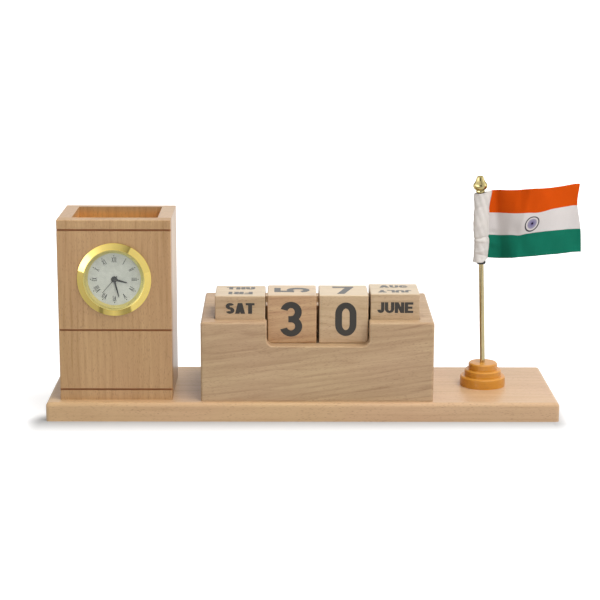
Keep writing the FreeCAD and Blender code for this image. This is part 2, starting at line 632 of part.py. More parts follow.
def flag_cloth():
    oval = Part.Ellipse(V(0, 0, CLOTH_FOOT), SLEEVE_HALF_WIDTH, SLEEVE_HALF_DEPTH)
    sleeve = Part.Face(Part.Wire(oval.toShape())).extrude(V(0, 0, SLEEVE_LENGTH))
    foot = CLOTH_FOOT + CLOTH_RISE
    start = SLEEVE_HALF_WIDTH / 2
    span = (CLOTH_REACH - start) / CLOTH_STEPS
    reaches = [start + span * i for i in range(CLOTH_STEPS + 1)]
    sides = []
    for half in (-CLOTH_THICKNESS / 2, CLOTH_THICKNESS / 2):
        side = Part.BSplineCurve()
        side.interpolate([V(u, wave(u) + half, foot) for u in reaches])
        sides.append(side.toShape())
    ends = []
    for u in (reaches[0], reaches[-1]):
        half = V(0, CLOTH_THICKNESS / 2, 0)
        middle = V(u, wave(u), foot)
        ends.append(Part.makeLine(middle - half, middle + half))
    outline = Part.Wire(Part.__sortEdges__(sides + ends))
    cloth = Part.Face(outline).extrude(V(0, 0, CLOTH_HEIGHT))
    bore = Part.makeCylinder(POLE_RADIUS + SOFT_GAP, CLOTH_FOOT + 2 * CLOTH_HEIGHT)
    return on_pole(sleeve.fuse(cloth).cut(bore))


# ---- clock -----------------------------------------------------------------------------------
# Clock pieces are drawn seen from the front, X to the right and Y up, with depths going inwards.
def disc(radius, front, back, place=CENTRE):
    return Part.makeCylinder(radius, back - front, V(place[0], place[1], -back))


def ring(outer, inner, front, back, place=CENTRE):
    return disc(outer, front, back, place).cut(disc(inner, front - EXTRA, back + EXTRA, place))


def plate(x0, x1, y0, y1, front, back):
    return box(x0, x1, y0, y1, -back, -front)


def bar(a, b, half_width, front, back):
    """Flat link with round ends between two places."""
    dx = b[0] - a[0]
    dy = b[1] - a[1]
    length = math.hypot(dx, dy)
    nx = -dy / length * half_width
    ny = dx / length * half_width
    corners = [
        (a[0] + nx, a[1] + ny), (b[0] + nx, b[1] + ny), (b[0] - nx, b[1] - ny),
        (a[0] - nx, a[1] - ny),
    ]
    middle = extruded(corners, -back, -front)
    return middle.fuse([disc(half_width, front, back, a), disc(half_width, front, back, b)])


def turned_deep(profile):
    """Solid of revolution from (radius, depth) points."""
    return turned([(radius, -depth) for radius, depth in profile])


def in_clock(shape):
    """Moves a shape from the clock's frame to the set's frame."""
    moved = shape.copy()
    moved.rotate(V(0, 0, 0), X_AXIS, 90)
    moved.translate(V(STAND_X, STAND_Y, CLOCK_Z))
    return moved


def gear(teeth, module, front, back, place, phase):
    """Toothed wheel; phase is the direction of one tooth's middle in degrees."""
    pitch = 2 * math.pi / teeth
    pitch_radius = module * teeth / 2
    root = pitch_radius - DEDENDUM * module
    tip = pitch_radius + ADDENDUM * module
    flanks = (
        (root, -TOOTH_ROOT / 2), (tip, -TOOTH_TIP / 2), (tip, TOOTH_TIP / 2),
        (root, TOOTH_ROOT / 2),
    )
    points = []
    for tooth in range(teeth):
        for radius, share in flanks:
            angle = math.radians(phase) + (tooth + share) * pitch
            points.append((
                place[0] + radius * math.cos(angle), place[1] + radius * math.sin(angle),
            ))
    return extruded(points, -back, -front)


def direction(a, b):
    return math.degrees(math.atan2(b[1] - a[1], b[0] - a[0]))


def meshed(phase, teeth, place, other_teeth, other_place):
    """Phase of the other wheel whose gap faces the first wheel's tooth."""
    line = direction(place, other_place)
    share = (phase - line) / (360 / teeth)
    pitch = 360 / other_teeth
    return line + 180 - share * pitch + pitch / 2


INTERMEDIATE_PHASE = meshed(
    0, SECOND_WHEEL_TEETH, CENTRE, INTERMEDIATE_PINION_TEETH, INTERMEDIATE
)
ROTOR_PHASE = meshed(0, INTERMEDIATE_WHEEL_TEETH, INTERMEDIATE, ROTOR_PINION_TEETH, ROTOR)
THIRD_PHASE = meshed(0, SECOND_PINION_TEETH, CENTRE, THIRD_WHEEL_TEETH, THIRD)
CENTRE_PHASE = meshed(0, THIRD_PINION_TEETH, THIRD, CENTRE_WHEEL_TEETH, CENTRE)
MINUTE_PHASE = meshed(0, CANNON_PINION_TEETH, CENTRE, MINUTE_WHEEL_TEETH, MINUTE)
HOUR_PHASE = meshed(0, MINUTE_PINION_TEETH, MINUTE, HOUR_WHEEL_TEETH, CENTRE)
SETTING_PHASE = meshed(
    MINUTE_PHASE, MINUTE_WHEEL_TEETH, MINUTE, SETTING_PINION_TEETH, SETTING
)


def clock_bezel():
    bore = CASE_RADIUS + SEAT_GAP
    return turned_deep([
        (bore, 0), (BEZEL_RADIUS, 0), (BEZEL_RADIUS, -BEZEL_RIM),
        (BEZEL_OPENING + BEZEL_LAND, BEZEL_FRONT), (BEZEL_OPENING, BEZEL_FRONT + BEZEL_LAND_FALL),
        (BEZEL_OPENING, CRYSTAL_FRONT), (bore, CRYSTAL_FRONT),
    ])


def inner_ring():
    outer = CASE_RADIUS
    spigot = CASE_BORE - RUNNING_FIT
    return turned_deep([
        (outer, CRYSTAL_BACK), (BEZEL_OPENING, CRYSTAL_BACK), (DIAL_OPENING, DIAL_FRONT),
        (spigot, DIAL_FRONT), (spigot, CASE_FRONT), (outer, CASE_FRONT),
    ])


def clock_case():
    tube = ring(CASE_RADIUS, CASE_BORE, CASE_FRONT, CASE_DEPTH)
    in_wall = CASE_RADIUS - CASE_WALL / 2
    ledge = ring(in_wall, CASE_BORE - CASE_LEDGE, PLATE_BACK, PLATE_BACK + CASE_LEDGE_DEPTH)
    lip_front = BAND_FRONT + BAND_LENGTH + SEAT_GAP
    lip = ring(CASE_RADIUS + CASE_LIP, in_wall, lip_front, lip_front + CASE_LIP)
    return tube.fuse([ledge, lip]).removeSplitter()


def hatch_tabs(reach, half_angle, front, back, turn):
    """Two opposite ring segments about the cell's axis."""
    segments = []
    for side in (0, 180):
        segment = Part.makeCylinder(
            reach, back - front, V(0, 0, -back), Z_AXIS, 2 * half_angle
        )
        segment.rotate(V(0, 0, 0), Z_AXIS, side + turn - half_angle)
        segments.append(segment.translated(V(CELL_CENTRE[0], CELL_CENTRE[1], 0)))
    return segments


def case_back():
    cover = disc(CASE_RADIUS, CASE_DEPTH, BACK_FACE)
    spigot = ring(
        CASE_BORE - RUNNING_FIT, CASE_BORE - CASE_LEDGE, CASE_DEPTH - PLATE_THICKNESS, CASE_DEPTH
    )
    opening = disc(
        HATCH_RADIUS + SEAT_GAP, CASE_DEPTH - 2 * EXTRA, BACK_FACE + EXTRA, CELL_CENTRE
    )
    notches = hatch_tabs(
        HATCH_RADIUS + HATCH_TAB + SEAT_GAP, HATCH_TAB_HALF_ANGLE + HATCH_TAB_PLAY,
        CASE_DEPTH - 2 * EXTRA, BACK_FACE + EXTRA, HATCH_TURN,
    )
    shaft = disc(SETTING_SHAFT + RUNNING_FIT, CASE_DEPTH - EXTRA, BACK_FACE + EXTRA, SETTING)
    return cover.fuse(spigot).cut([opening] + notches + [shaft])


def battery_hatch():
    lid = disc(HATCH_RADIUS, CELL_BACK + SEAT_GAP, BACK_FACE, CELL_CENTRE)
    tabs = hatch_tabs(
        HATCH_RADIUS + HATCH_TAB, HATCH_TAB_HALF_ANGLE, CELL_BACK + SEAT_GAP,
        CASE_DEPTH - SEAT_GAP, 0,
    )
    length, width, depth = HATCH_SLOT
    x, y = CELL_CENTRE
    slot = plate(
        x - length / 2, x + length / 2, y - width / 2, y + width / 2, BACK_FACE - depth,
        BACK_FACE + EXTRA,
    )
    return lid.fuse(tabs).cut(slot).removeSplitter()


def button_cell():
    can_front = CELL_FRONT + CELL_CAP_HEIGHT
    can = disc(CELL_RADIUS, can_front, CELL_BACK, CELL_CENTRE)
    cap = disc(CELL_RADIUS - CELL_RIM, CELL_FRONT, can_front, CELL_CENTRE)
    return can.fuse(cap)


def hand(length_width_hub, angle, front, bore, tail=0.0):
    """Tapered hand that points up, turned clockwise by angle."""
    length, width, hub = length_width_hub
    back = front + HAND_THICKNESS
    half = width / 2
    near_tip = half * HAND_TAPER
    blade = extruded(
        [(-half, 0), (half, 0), (near_tip, length - width), (0, length),
         (-near_tip, length - width)],
        -back, -front,
    )
    pieces = [disc(hub, front, back)]
    if tail:
        end = half * TAIL_FLARE
        pieces.append(extruded([(-half, 0), (-end, -tail), (end, -tail), (half, 0)], -back, -front))
    whole = blade.fuse(pieces).removeSplitter().cut(disc(bore, front - EXTRA, back + EXTRA))
    whole.rotate(V(0, 0, 0), Z_AXIS, -angle)
    return whole


def hour_wheel():
    back = HOUR_WHEEL_FRONT + MOTION_THICKNESS
    wheel = gear(
        HOUR_WHEEL_TEETH, HOUR_MODULE, HOUR_WHEEL_FRONT, back, CENTRE, HOUR_PHASE
    )
    pipe = disc(HOUR_PIPE, HOUR_HAND_FRONT, back)
    return wheel.fuse(pipe).cut(disc(HOUR_BORE, HOUR_HAND_FRONT - EXTRA, back + EXTRA))


def cannon_pinion():
    front = MINUTE_WHEEL_FRONT - LEAF_OVERHANG
    back = MINUTE_WHEEL_FRONT + MOTION_THICKNESS + LEAF_OVERHANG
    leaves = gear(CANNON_PINION_TEETH, MOTION_MODULE, front, back, CENTRE, 0)
    pipe = disc(CANNON_PIPE, MINUTE_HAND_FRONT, back)
    return leaves.fuse(pipe).cut(disc(CANNON_BORE, MINUTE_HAND_FRONT - EXTRA, back + EXTRA))


def minute_wheel():
    back = MINUTE_WHEEL_FRONT + MOTION_THICKNESS
    wheel = gear(
        MINUTE_WHEEL_TEETH, MOTION_MODULE, MINUTE_WHEEL_FRONT, back, MINUTE, MINUTE_PHASE
    )
    front = HOUR_WHEEL_FRONT - LEAF_OVERHANG
    pinion = gear(MINUTE_PINION_TEETH, HOUR_MODULE, front, MINUTE_WHEEL_FRONT, MINUTE, 0)
    bore = disc(MINUTE_POST + RUNNING_FIT, 0, back + EXTRA, MINUTE)
    return wheel.fuse(pinion).cut(bore)


def setting_knob():
    back = MINUTE_WHEEL_FRONT + MOTION_THICKNESS
    pinion = gear(
        SETTING_PINION_TEETH, MOTION_MODULE, MINUTE_WHEEL_FRONT, back, SETTING, SETTING_PHASE
    )
    knob_front = BACK_FACE + LAYER_GAP
    shaft = disc(SETTING_SHAFT, back, knob_front, SETTING)
    knob = gear(
        KNOB_TEETH, 2 * KNOB_RADIUS / KNOB_TEETH, knob_front, knob_front + KNOB_LENGTH, SETTING, 0
    )
    return pinion.fuse([shaft, knob])


def centre_wheel():
    back = CENTRE_WHEEL_FRONT + WHEEL_THICKNESS
    wheel = gear(
        CENTRE_WHEEL_TEETH, CENTRE_MODULE, CENTRE_WHEEL_FRONT, back, CENTRE, CENTRE_PHASE
    )
    tube = disc(CENTRE_TUBE, MINUTE_WHEEL_FRONT, back)
    return wheel.fuse(tube).cut(disc(CENTRE_BORE, 0, back + EXTRA))


def arbor_solid(radius, place, pieces):
    arbor = disc(radius, PLATE_FRONT + SEAT_GAP, BRIDGE_BACK - SEAT_GAP, place)
    return arbor.fuse(pieces)


def third_wheel():
    pinion = gear(
        THIRD_PINION_TEETH, CENTRE_MODULE, CENTRE_WHEEL_FRONT - LEAF_OVERHANG,
        CENTRE_WHEEL_FRONT + WHEEL_THICKNESS + LEAF_OVERHANG, THIRD, 0,
    )
    wheel = gear(
        THIRD_WHEEL_TEETH, THIRD_MODULE, THIRD_WHEEL_FRONT, THIRD_WHEEL_FRONT + WHEEL_THICKNESS,
        THIRD, THIRD_PHASE,
    )
    return arbor_solid(TRAIN_ARBOR, THIRD, [pinion, wheel])


def second_wheel():
    pinion = gear(
        SECOND_PINION_TEETH, THIRD_MODULE, THIRD_WHEEL_FRONT - LEAF_OVERHANG,
        THIRD_WHEEL_FRONT + WHEEL_THICKNESS + LEAF_OVERHANG, CENTRE, 0,
    )
    wheel = gear(
        SECOND_WHEEL_TEETH, INTERMEDIATE_MODULE, SECOND_WHEEL_FRONT,
        SECOND_WHEEL_FRONT + WHEEL_THICKNESS, CENTRE, 0,
    )
    arbor = disc(SECOND_ARBOR, SECOND_HAND_FRONT, BRIDGE_BACK - SEAT_GAP)
    return arbor.fuse([pinion, wheel])


def intermediate_wheel():
    pinion = gear(
        INTERMEDIATE_PINION_TEETH, INTERMEDIATE_MODULE, SECOND_WHEEL_FRONT - LEAF_OVERHANG,
        SECOND_WHEEL_FRONT + WHEEL_THICKNESS + LEAF_OVERHANG, INTERMEDIATE, INTERMEDIATE_PHASE,
    )
    wheel = gear(
        INTERMEDIATE_WHEEL_TEETH, ROTOR_MODULE, INTERMEDIATE_WHEEL_FRONT,
        INTERMEDIATE_WHEEL_FRONT + WHEEL_THICKNESS, INTERMEDIATE, 0,
    )
    return arbor_solid(TRAIN_ARBOR, INTERMEDIATE, [pinion, wheel])


STATOR_FRONT = PLATE_BACK + STATOR_RISE
STATOR_BACK = STATOR_FRONT + STATOR_THICKNESS
CORE_FRONT = STATOR_BACK + RUNNING_FIT
CORE_MIDDLE = CORE_FRONT + CORE_SECTION[1] / 2
STATOR_FEET = (
    (CORE_ENDS[0] + CORE_FOOT_INSET, COIL_HEIGHT), (CORE_ENDS[1] - CORE_FOOT_INSET, COIL_HEIGHT),
)


def rotor():
    pinion = gear(
        ROTOR_PINION_TEETH, ROTOR_MODULE, INTERMEDIATE_WHEEL_FRONT - LEAF_OVERHANG,
        INTERMEDIATE_WHEEL_FRONT + WHEEL_THICKNESS + LEAF_OVERHANG, ROTOR, ROTOR_PHASE,
    )
    magnet = disc(
        ROTOR_MAGNET, STATOR_FRONT - MAGNET_OVERHANG, STATOR_BACK + MAGNET_OVERHANG, ROTOR
    )
    return arbor_solid(ROTOR_ARBOR, ROTOR, [pinion, magnet])


def stator():
    low = COIL_HEIGHT - COIL_RADIUS - STATOR_BAR / 2 - 2 * SEAT_GAP
    left = (STATOR_FEET[0][0], low)
    right = (ROTOR[0] - ROTOR_MAGNET - STATOR_ELBOW, low)
    half = STATOR_BAR / 2
    room = ROTOR_MAGNET + ROTOR_GAP
    pole_piece = disc(room + POLE_PIECE_WALL, STATOR_FRONT, STATOR_BACK, ROTOR)
    links = [
        bar(STATOR_FEET[0], left, half, STATOR_FRONT, STATOR_BACK),
        bar(left, right, half, STATOR_FRONT, STATOR_BACK),
        bar(right, ROTOR, half, STATOR_FRONT, STATOR_BACK),
        bar(STATOR_FEET[1], ROTOR, half, STATOR_FRONT, STATOR_BACK),
    ]
    hole = disc(room, STATOR_FRONT - EXTRA, STATOR_BACK + EXTRA, ROTOR)
    return pole_piece.fuse(links).cut(hole).removeSplitter()


def coil_core():
    half = CORE_SECTION[0] / 2
    return plate(
        CORE_ENDS[0], CORE_ENDS[1], COIL_HEIGHT - half, COIL_HEIGHT + half, CORE_FRONT,
        CORE_FRONT + CORE_SECTION[1],
    )


def coil_winding():
    start, end = COIL_ENDS
    winding = Part.makeCylinder(
        COIL_RADIUS, end - start, V(start, COIL_HEIGHT, -CORE_MIDDLE), X_AXIS
    )
    half = CORE_SECTION[0] / 2 + RUNNING_FIT
    bore = plate(
        start - EXTRA, end + EXTRA, COIL_HEIGHT - half, COIL_HEIGHT + half,
        CORE_FRONT - RUNNING_FIT, CORE_FRONT + CORE_SECTION[1] + RUNNING_FIT,
    )
    return winding.cut(bore)


CIRCUIT_BACK = PLATE_BACK + CIRCUIT_SIZE[2]


def circuit_board():
    x, y = CIRCUIT_CORNER
    return plate(x, x + CIRCUIT_SIZE[0], y, y + CIRCUIT_SIZE[1], PLATE_BACK, CIRCUIT_BACK)


def chip():
    x = CIRCUIT_CORNER[0] + CIRCUIT_SIZE[0] - CHIP_RADIUS - CHIP_INSET[0]
    y = CIRCUIT_CORNER[1] + CIRCUIT_SIZE[1] - CHIP_RADIUS - CHIP_INSET[1]
    return disc(CHIP_RADIUS, CIRCUIT_BACK, CIRCUIT_BACK + CHIP_HEIGHT, (x, y))


def quartz_can():
    x = CIRCUIT_CORNER[0] + QUARTZ_RADIUS + QUARTZ_INSET[0]
    y = CIRCUIT_CORNER[1] + QUARTZ_INSET[1]
    return Part.makeCylinder(
        QUARTZ_RADIUS, QUARTZ_LENGTH, V(x, y, -CIRCUIT_BACK - QUARTZ_RADIUS), Y_AXIS
    )


CONTACT_LEFT = CIRCUIT_CORNER[0] + CONTACT_INSET
CONTACT_LOW = CIRCUIT_CORNER[1]


def plus_contact():
    side = CELL_CENTRE[0] - CELL_RADIUS - RUNNING_FIT
    high = CONTACT_LOW + PLUS_WIDTH
    foot = plate(CONTACT_LEFT, side, CONTACT_LOW, high, CIRCUIT_BACK, CIRCUIT_BACK + STRIP)
    tab = plate(
        side - STRIP, side, CONTACT_LOW - PLUS_DROP, high, CIRCUIT_BACK, CELL_BACK - PLUS_SHORT
    )
    return foot.fuse(tab).removeSplitter()


def minus_contact():
    low = CONTACT_LOW + MINUS_OFFSET
    high = low + MINUS_WIDTH
    rise = CONTACT_LEFT + MINUS_FOOT
    run_front = CELL_FRONT - SEAT_GAP - STRIP
    foot = plate(CONTACT_LEFT, rise, low, high, CIRCUIT_BACK, CIRCUIT_BACK + STRIP)
    riser = plate(rise - STRIP, rise, low, high, CIRCUIT_BACK, run_front + STRIP)
    end = CELL_CENTRE[0] + MINUS_REACH
    run = plate(rise - STRIP, end, low, high, run_front, run_front + STRIP)
    return foot.fuse([riser, run]).removeSplitter()


def main_plate():
    base = disc(CASE_BORE - SEAT_GAP, PLATE_FRONT, PLATE_BACK)
    feet = [
        disc(DIAL_FOOT_RADIUS, DIAL_BACK, PLATE_FRONT, step(CENTRE, angle, DIAL_FOOT_CIRCLE))
        for angle in DIAL_FOOT_ANGLES
    ]
    post = disc(MINUTE_POST, HOUR_WHEEL_FRONT - POST_STANDOUT, PLATE_FRONT, MINUTE)
    pillars = [disc(PILLAR_RADIUS, PLATE_BACK, BRIDGE_FRONT, place) for place in PILLARS]
    stator_feet = [
        disc(STATOR_BAR / 2, PLATE_BACK, STATOR_FRONT, place) for place in STATOR_FEET
    ]
    outer = CELL_BORE + CRADLE_WALL
    seat = ring(outer, CELL_RADIUS - CRADLE_SEAT, PLATE_BACK, CELL_FRONT, CELL_CENTRE)
    wall = ring(outer, CELL_BORE, CELL_FRONT, PLATE_BACK + CRADLE_HEIGHT, CELL_CENTRE)
    cradle = seat.fuse(wall)
    inside = disc(CASE_BORE - CASE_LEDGE - SEAT_GAP, PLATE_BACK, CASE_DEPTH)
    wheel_pitch = INTERMEDIATE_MODULE * SECOND_WHEEL_TEETH / 2
    wheel_room = disc(wheel_pitch + WHEEL_ROOM, PLATE_BACK, CASE_DEPTH)
    contact_room = plate(
        CELL_CENTRE[0] - outer - EXTRA, CELL_CENTRE[0] - CONTACT_ROOM_END,
        CONTACT_LOW - PLUS_DROP - CONTACT_ROOM,
        CONTACT_LOW + MINUS_OFFSET + MINUS_WIDTH + CONTACT_ROOM, PLATE_BACK, CASE_DEPTH,
    )
    cradle = cradle.common(inside).cut([wheel_room, contact_room])
    body = base.fuse(feet + [post] + pillars + stator_feet + cradle.Solids)
    bores = [
        (CENTRE, CENTRE_TUBE + RUNNING_FIT), (THIRD, TRAIN_ARBOR + RUNNING_FIT),
        (INTERMEDIATE, TRAIN_ARBOR + RUNNING_FIT), (ROTOR, ROTOR_ARBOR + RUNNING_FIT),
        (SETTING, SETTING_SHAFT + RUNNING_FIT),
    ]
    holes = [
        disc(radius, PLATE_FRONT - EXTRA, PLATE_BACK + EXTRA, place) for place, radius in bores
    ]
    screw_end = BRIDGE_FRONT - BRIDGE_SCREW_REACH - PILLAR_BORE_SPARE
    holes += [
        disc(PILLAR_SCREW + RUNNING_FIT, screw_end, BRIDGE_FRONT + EXTRA, place)
        for place in PILLARS
    ]
    return body.cut(holes)


def train_bridge():
    links = (
        (CENTRE, THIRD), (CENTRE, INTERMEDIATE), (INTERMEDIATE, ROTOR), (THIRD, PILLARS[0]),
        (INTERMEDIATE, PILLARS[1]), (CENTRE, PILLARS[2]), (CENTRE, PILLARS[3]),
    )
    arms = [bar(a, b, PILLAR_RADIUS + BRIDGE_MARGIN, BRIDGE_FRONT, BRIDGE_BACK) for a, b in links]
    body = arms[0].fuse(arms[1:]).removeSplitter()
    bores = [
        (CENTRE, SECOND_ARBOR), (THIRD, TRAIN_ARBOR), (INTERMEDIATE, TRAIN_ARBOR),
        (ROTOR, ROTOR_ARBOR),
    ]
    bores += [(place, PILLAR_SCREW) for place in PILLARS]
    return body.cut([
        disc(radius + RUNNING_FIT, BRIDGE_FRONT - EXTRA, BRIDGE_BACK + EXTRA, place)
        for place, radius in bores
    ])


def bridge_screws():
    screws = []
    for place in PILLARS:
        head_back = BRIDGE_BACK + BRIDGE_SCREW_HEAD
        head = disc(PILLAR_RADIUS - SEAT_GAP, BRIDGE_BACK, head_back, place)
        shank = disc(PILLAR_SCREW, BRIDGE_FRONT - BRIDGE_SCREW_REACH, BRIDGE_BACK, place)
        slot = plate(
            place[0] - PILLAR_RADIUS, place[0] + PILLAR_RADIUS,
            place[1] - BRIDGE_SLOT_WIDTH / 2, place[1] + BRIDGE_SLOT_WIDTH / 2,
            head_back - BRIDGE_SLOT_DEPTH, head_back + EXTRA,
        )
        screws.append(head.fuse(shank).cut(slot))
    return Part.makeCompound(screws)


def clock_parts():
    band_back = BAND_FRONT + BAND_LENGTH
    return (
        ("clock_bezel", clock_bezel()),
        ("clock_crystal", disc(CASE_RADIUS, CRYSTAL_FRONT, CRYSTAL_BACK)),
        ("inner_ring", inner_ring()),
        ("clock_dial", ring(DIAL_RADIUS, DIAL_HOLE, DIAL_FRONT, DIAL_BACK)),
        ("clock_case", clock_case()),
        ("grip_band", ring(BAND_RADIUS, CASE_RADIUS + RUNNING_FIT, BAND_FRONT, band_back)),
        ("case_back", case_back()),
        ("battery_hatch", battery_hatch()),
        ("button_cell", button_cell()),
        ("hour_hand", hand(HOUR_HAND, HOUR_ANGLE, HOUR_HAND_FRONT, HOUR_PIPE + PRESS_FIT)),
        ("minute_hand", hand(
            MINUTE_HAND, MINUTE_ANGLE, MINUTE_HAND_FRONT, CANNON_PIPE + PRESS_FIT
        )),
        ("second_hand", hand(
            SECOND_HAND, SECOND_ANGLE, SECOND_HAND_FRONT, SECOND_ARBOR + PRESS_FIT, SECOND_TAIL
        )),
        ("hour_wheel", hour_wheel()),
        ("cannon_pinion", cannon_pinion()),
        ("minute_wheel", minute_wheel()),
        ("setting_knob", setting_knob()),
        ("centre_wheel", centre_wheel()),
        ("third_wheel", third_wheel()),
        ("second_wheel", second_wheel()),
        ("intermediate_wheel", intermediate_wheel()),
        ("rotor", rotor()),
        ("stator", stator()),
        ("coil_core", coil_core()),
        ("coil_winding", coil_winding()),
        ("circuit_board", circuit_board()),
        ("chip", chip()),
        ("quartz_can", quartz_can()),
        ("plus_contact", plus_contact()),
        ("minus_contact", minus_contact()),
        ("main_plate", main_plate()),
        ("train_bridge", train_bridge()),
        ("bridge_screws", bridge_screws()),
    )


# ---- write the sub-parts ---------------------------------------------------------------------
os.makedirs("parts", exist_ok=True)

save("base_board", base_board())
save("pen_stand_front", pen_stand_front())
save("pen_stand_back", pen_stand_back())
save("pen_stand_left", stand_panel(STAND_LEFT, CUP_LEFT, CUP_FRONT, CUP_BACK))
save("pen_stand_right", stand_panel(CUP_RIGHT, STAND_RIGHT, CUP_FRONT, CUP_BACK))
save("pen_stand_floor", pen_stand_floor())
save("calendar_block", calendar_block())
for cube_name, cube_x, cube_width, cube_height in cube_places():
    save(cube_name, cube(cube_x, cube_width, cube_height))
save("flag_base", flag_base())
save("flag_pole", flag_pole())
save("stop_ring", stop_ring())
save("finial", finial())
save("flag_cloth", flag_cloth())
save("block_screws", Part.makeCompound(placed_screws(BLOCK_SCREWS, LONG_SCREW)))
save("short_screws", Part.makeCompound(placed_screws(STAND_SCREWS + FLAG_SCREWS, SHORT_SCREW)))
for clock_node, clock_shape in clock_parts():
    save(clock_node, in_clock(clock_shape))
print(len(NODES), "sub-parts")
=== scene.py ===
"""Dresses the desk set: beech board, pen stand with clock, calendar cubes and table flag."""

import math
from functools import partialmethod

import bmesh
import bpy
from bpy.props import FloatProperty, FloatVectorProperty, PointerProperty
from mathutils import Matrix, Vector


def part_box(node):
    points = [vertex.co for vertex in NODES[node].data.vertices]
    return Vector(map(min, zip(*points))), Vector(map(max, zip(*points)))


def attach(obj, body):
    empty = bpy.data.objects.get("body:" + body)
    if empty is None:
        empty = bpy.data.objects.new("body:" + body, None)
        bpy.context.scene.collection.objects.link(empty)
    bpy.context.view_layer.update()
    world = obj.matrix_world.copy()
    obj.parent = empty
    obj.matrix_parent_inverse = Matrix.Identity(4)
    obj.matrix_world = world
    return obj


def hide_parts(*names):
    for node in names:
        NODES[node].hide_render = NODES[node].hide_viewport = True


bl_info = {
    "name": "Desk Set With Calendar And Clock",
    "version": (1, 0, 0),
    "blender": (4, 5, 0),
    "location": "3D View > Sidebar > Desk Set",
    "description": "Wood, printing, flag, clock and stage of a desk set",
    "category": "Object",
}

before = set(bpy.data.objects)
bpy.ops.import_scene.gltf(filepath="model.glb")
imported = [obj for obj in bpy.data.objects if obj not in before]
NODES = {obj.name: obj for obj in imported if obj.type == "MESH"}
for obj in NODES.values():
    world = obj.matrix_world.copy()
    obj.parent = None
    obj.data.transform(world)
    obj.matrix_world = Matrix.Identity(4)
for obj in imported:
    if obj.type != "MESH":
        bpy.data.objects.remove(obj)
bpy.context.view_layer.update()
MM = 0.001
UP = Vector((0, 0, 1))
WHITE = (1, 1, 1, 1)


def middle(node):
    low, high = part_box(node)
    return (low + high) / 2


DIAL_CENTRE = middle("clock_dial")
DIAL_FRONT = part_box("clock_dial")[0].y
BASE_CENTRE = middle("flag_base")
BASE_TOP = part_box("flag_base")[1].z
POLE_SOCKET = 8 * MM


# ---------------------------------------------------------------- colours and shader nodes


def rgb(red, green, blue):
    """A display colour, 0 to 255, as a linear one."""
    return tuple(
        (c / 255 / 12.92) if c <= 10 else ((c / 255 + 0.055) / 1.055) ** 2.4
        for c in (red, green, blue)
    )


def rgba(colour, shade=1.0):
    return (*(channel * shade for channel in colour[:3]), 1.0)


class Signal:
    """The value of a node's output; a sum done with it adds the node that works it out."""

    def __init__(self, socket):
        self.socket = socket
        self.tree = socket.id_data

    def calc(self, operation, other=0.0, clamp=False):
        return out(self.tree, "Math", {0: self, 1: other}, operation=operation, use_clamp=clamp)

    def __rsub__(self, other):
        return out(self.tree, "Math", {0: other, 1: self}, operation="SUBTRACT")

    __add__ = partialmethod(calc, "ADD")
    __sub__ = partialmethod(calc, "SUBTRACT")
    __mul__ = partialmethod(calc, "MULTIPLY")
    __truediv__ = partialmethod(calc, "DIVIDE")
    __abs__ = partialmethod(calc, "ABSOLUTE")


def fill(node, inputs):
    """Links a node's inputs to signals, or sets them to values."""
    for key, value in inputs.items():
        if isinstance(value, Signal):
            value.tree.links.new(value.socket, node.inputs[key])
        else:
            node.inputs[key].default_value = value


def feed(node, **inputs):
    """The same by the inputs' names, with _ for a space."""
    fill(node, {key.replace("_", " "): value for key, value in inputs.items()})


def add(tree, kind, inputs=None, **settings):
    """Adds a shader node, sets its options, and fills or links its inputs."""
    node = tree.nodes.new("ShaderNode" + kind)
    for key, value in settings.items():
        setattr(node, key, value)
    fill(node, inputs or {})
    return node


def out(tree, kind, inputs=None, key=0, **settings):
    """Adds a shader node and returns one of its outputs as a signal."""
    return Signal(add(tree, kind, inputs, **settings).outputs[key])


def highest(first, *others):
    for other in others:
        first = first.calc("MAXIMUM", other)
    return first


def tint(factor, first, second, blend="MIX"):
    tree = next(value.tree for value in (factor, first, second) if isinstance(value, Signal))
    inputs = {0: factor, 6: first, 7: second}
    return out(tree, "Mix", inputs, 2, data_type="RGBA", blend_type=blend)


def remap(value, low, high, to_low=0.0, to_high=1.0, smooth=False):
    inputs = {0: value, 1: low, 2: high, 3: to_low, 4: to_high}
    kind = "SMOOTHSTEP" if smooth else "LINEAR"
    return out(value.tree, "MapRange", inputs, interpolation_type=kind)


def place(vector, location=(0, 0, 0), rotation=(0, 0, 0), scale=(1, 1, 1)):
    return out(vector.tree, "Mapping", {0: vector, 1: location, 2: rotation, 3: scale})


def noise(vector, stretch=(1, 1, 1), detail=2.0, roughness=0.5, scale=1.0, rotation=(0, 0, 0)):
    """Noise whose coordinates are turned and stretched first."""
    if stretch != (1, 1, 1):
        vector = place(vector, rotation=rotation, scale=stretch)
    inputs = {"Vector": vector, "Scale": scale, "Detail": detail, "Roughness": roughness}
    return out(vector.tree, "TexNoise", inputs)


def bump(height, strength, distance):
    inputs = {"Height": height, "Strength": strength, "Distance": distance}
    return out(height.tree, "Bump", inputs)


def coordinates(node, kind):
    return out(node.id_data, "TexCoord", key=kind)


def object_mm(node, **mapping):
    """The piece's own coordinates in millimetres, in the tree of a node."""
    inputs = {0: coordinates(node, "Object"), 3: 1 / MM}
    scaled = out(node.id_data, "VectorMath", inputs, operation="SCALE")
    return place(scaled, **mapping) if mapping else scaled


def sheet_mm(node, wide, high):
    """A sheet's flat coordinates in millimetres."""
    return place(out(node.id_data, "UVMap"), scale=(wide, high, 1))


def axes(vector):
    return [Signal(socket) for socket in add(vector.tree, "SeparateXYZ", {0: vector}).outputs]


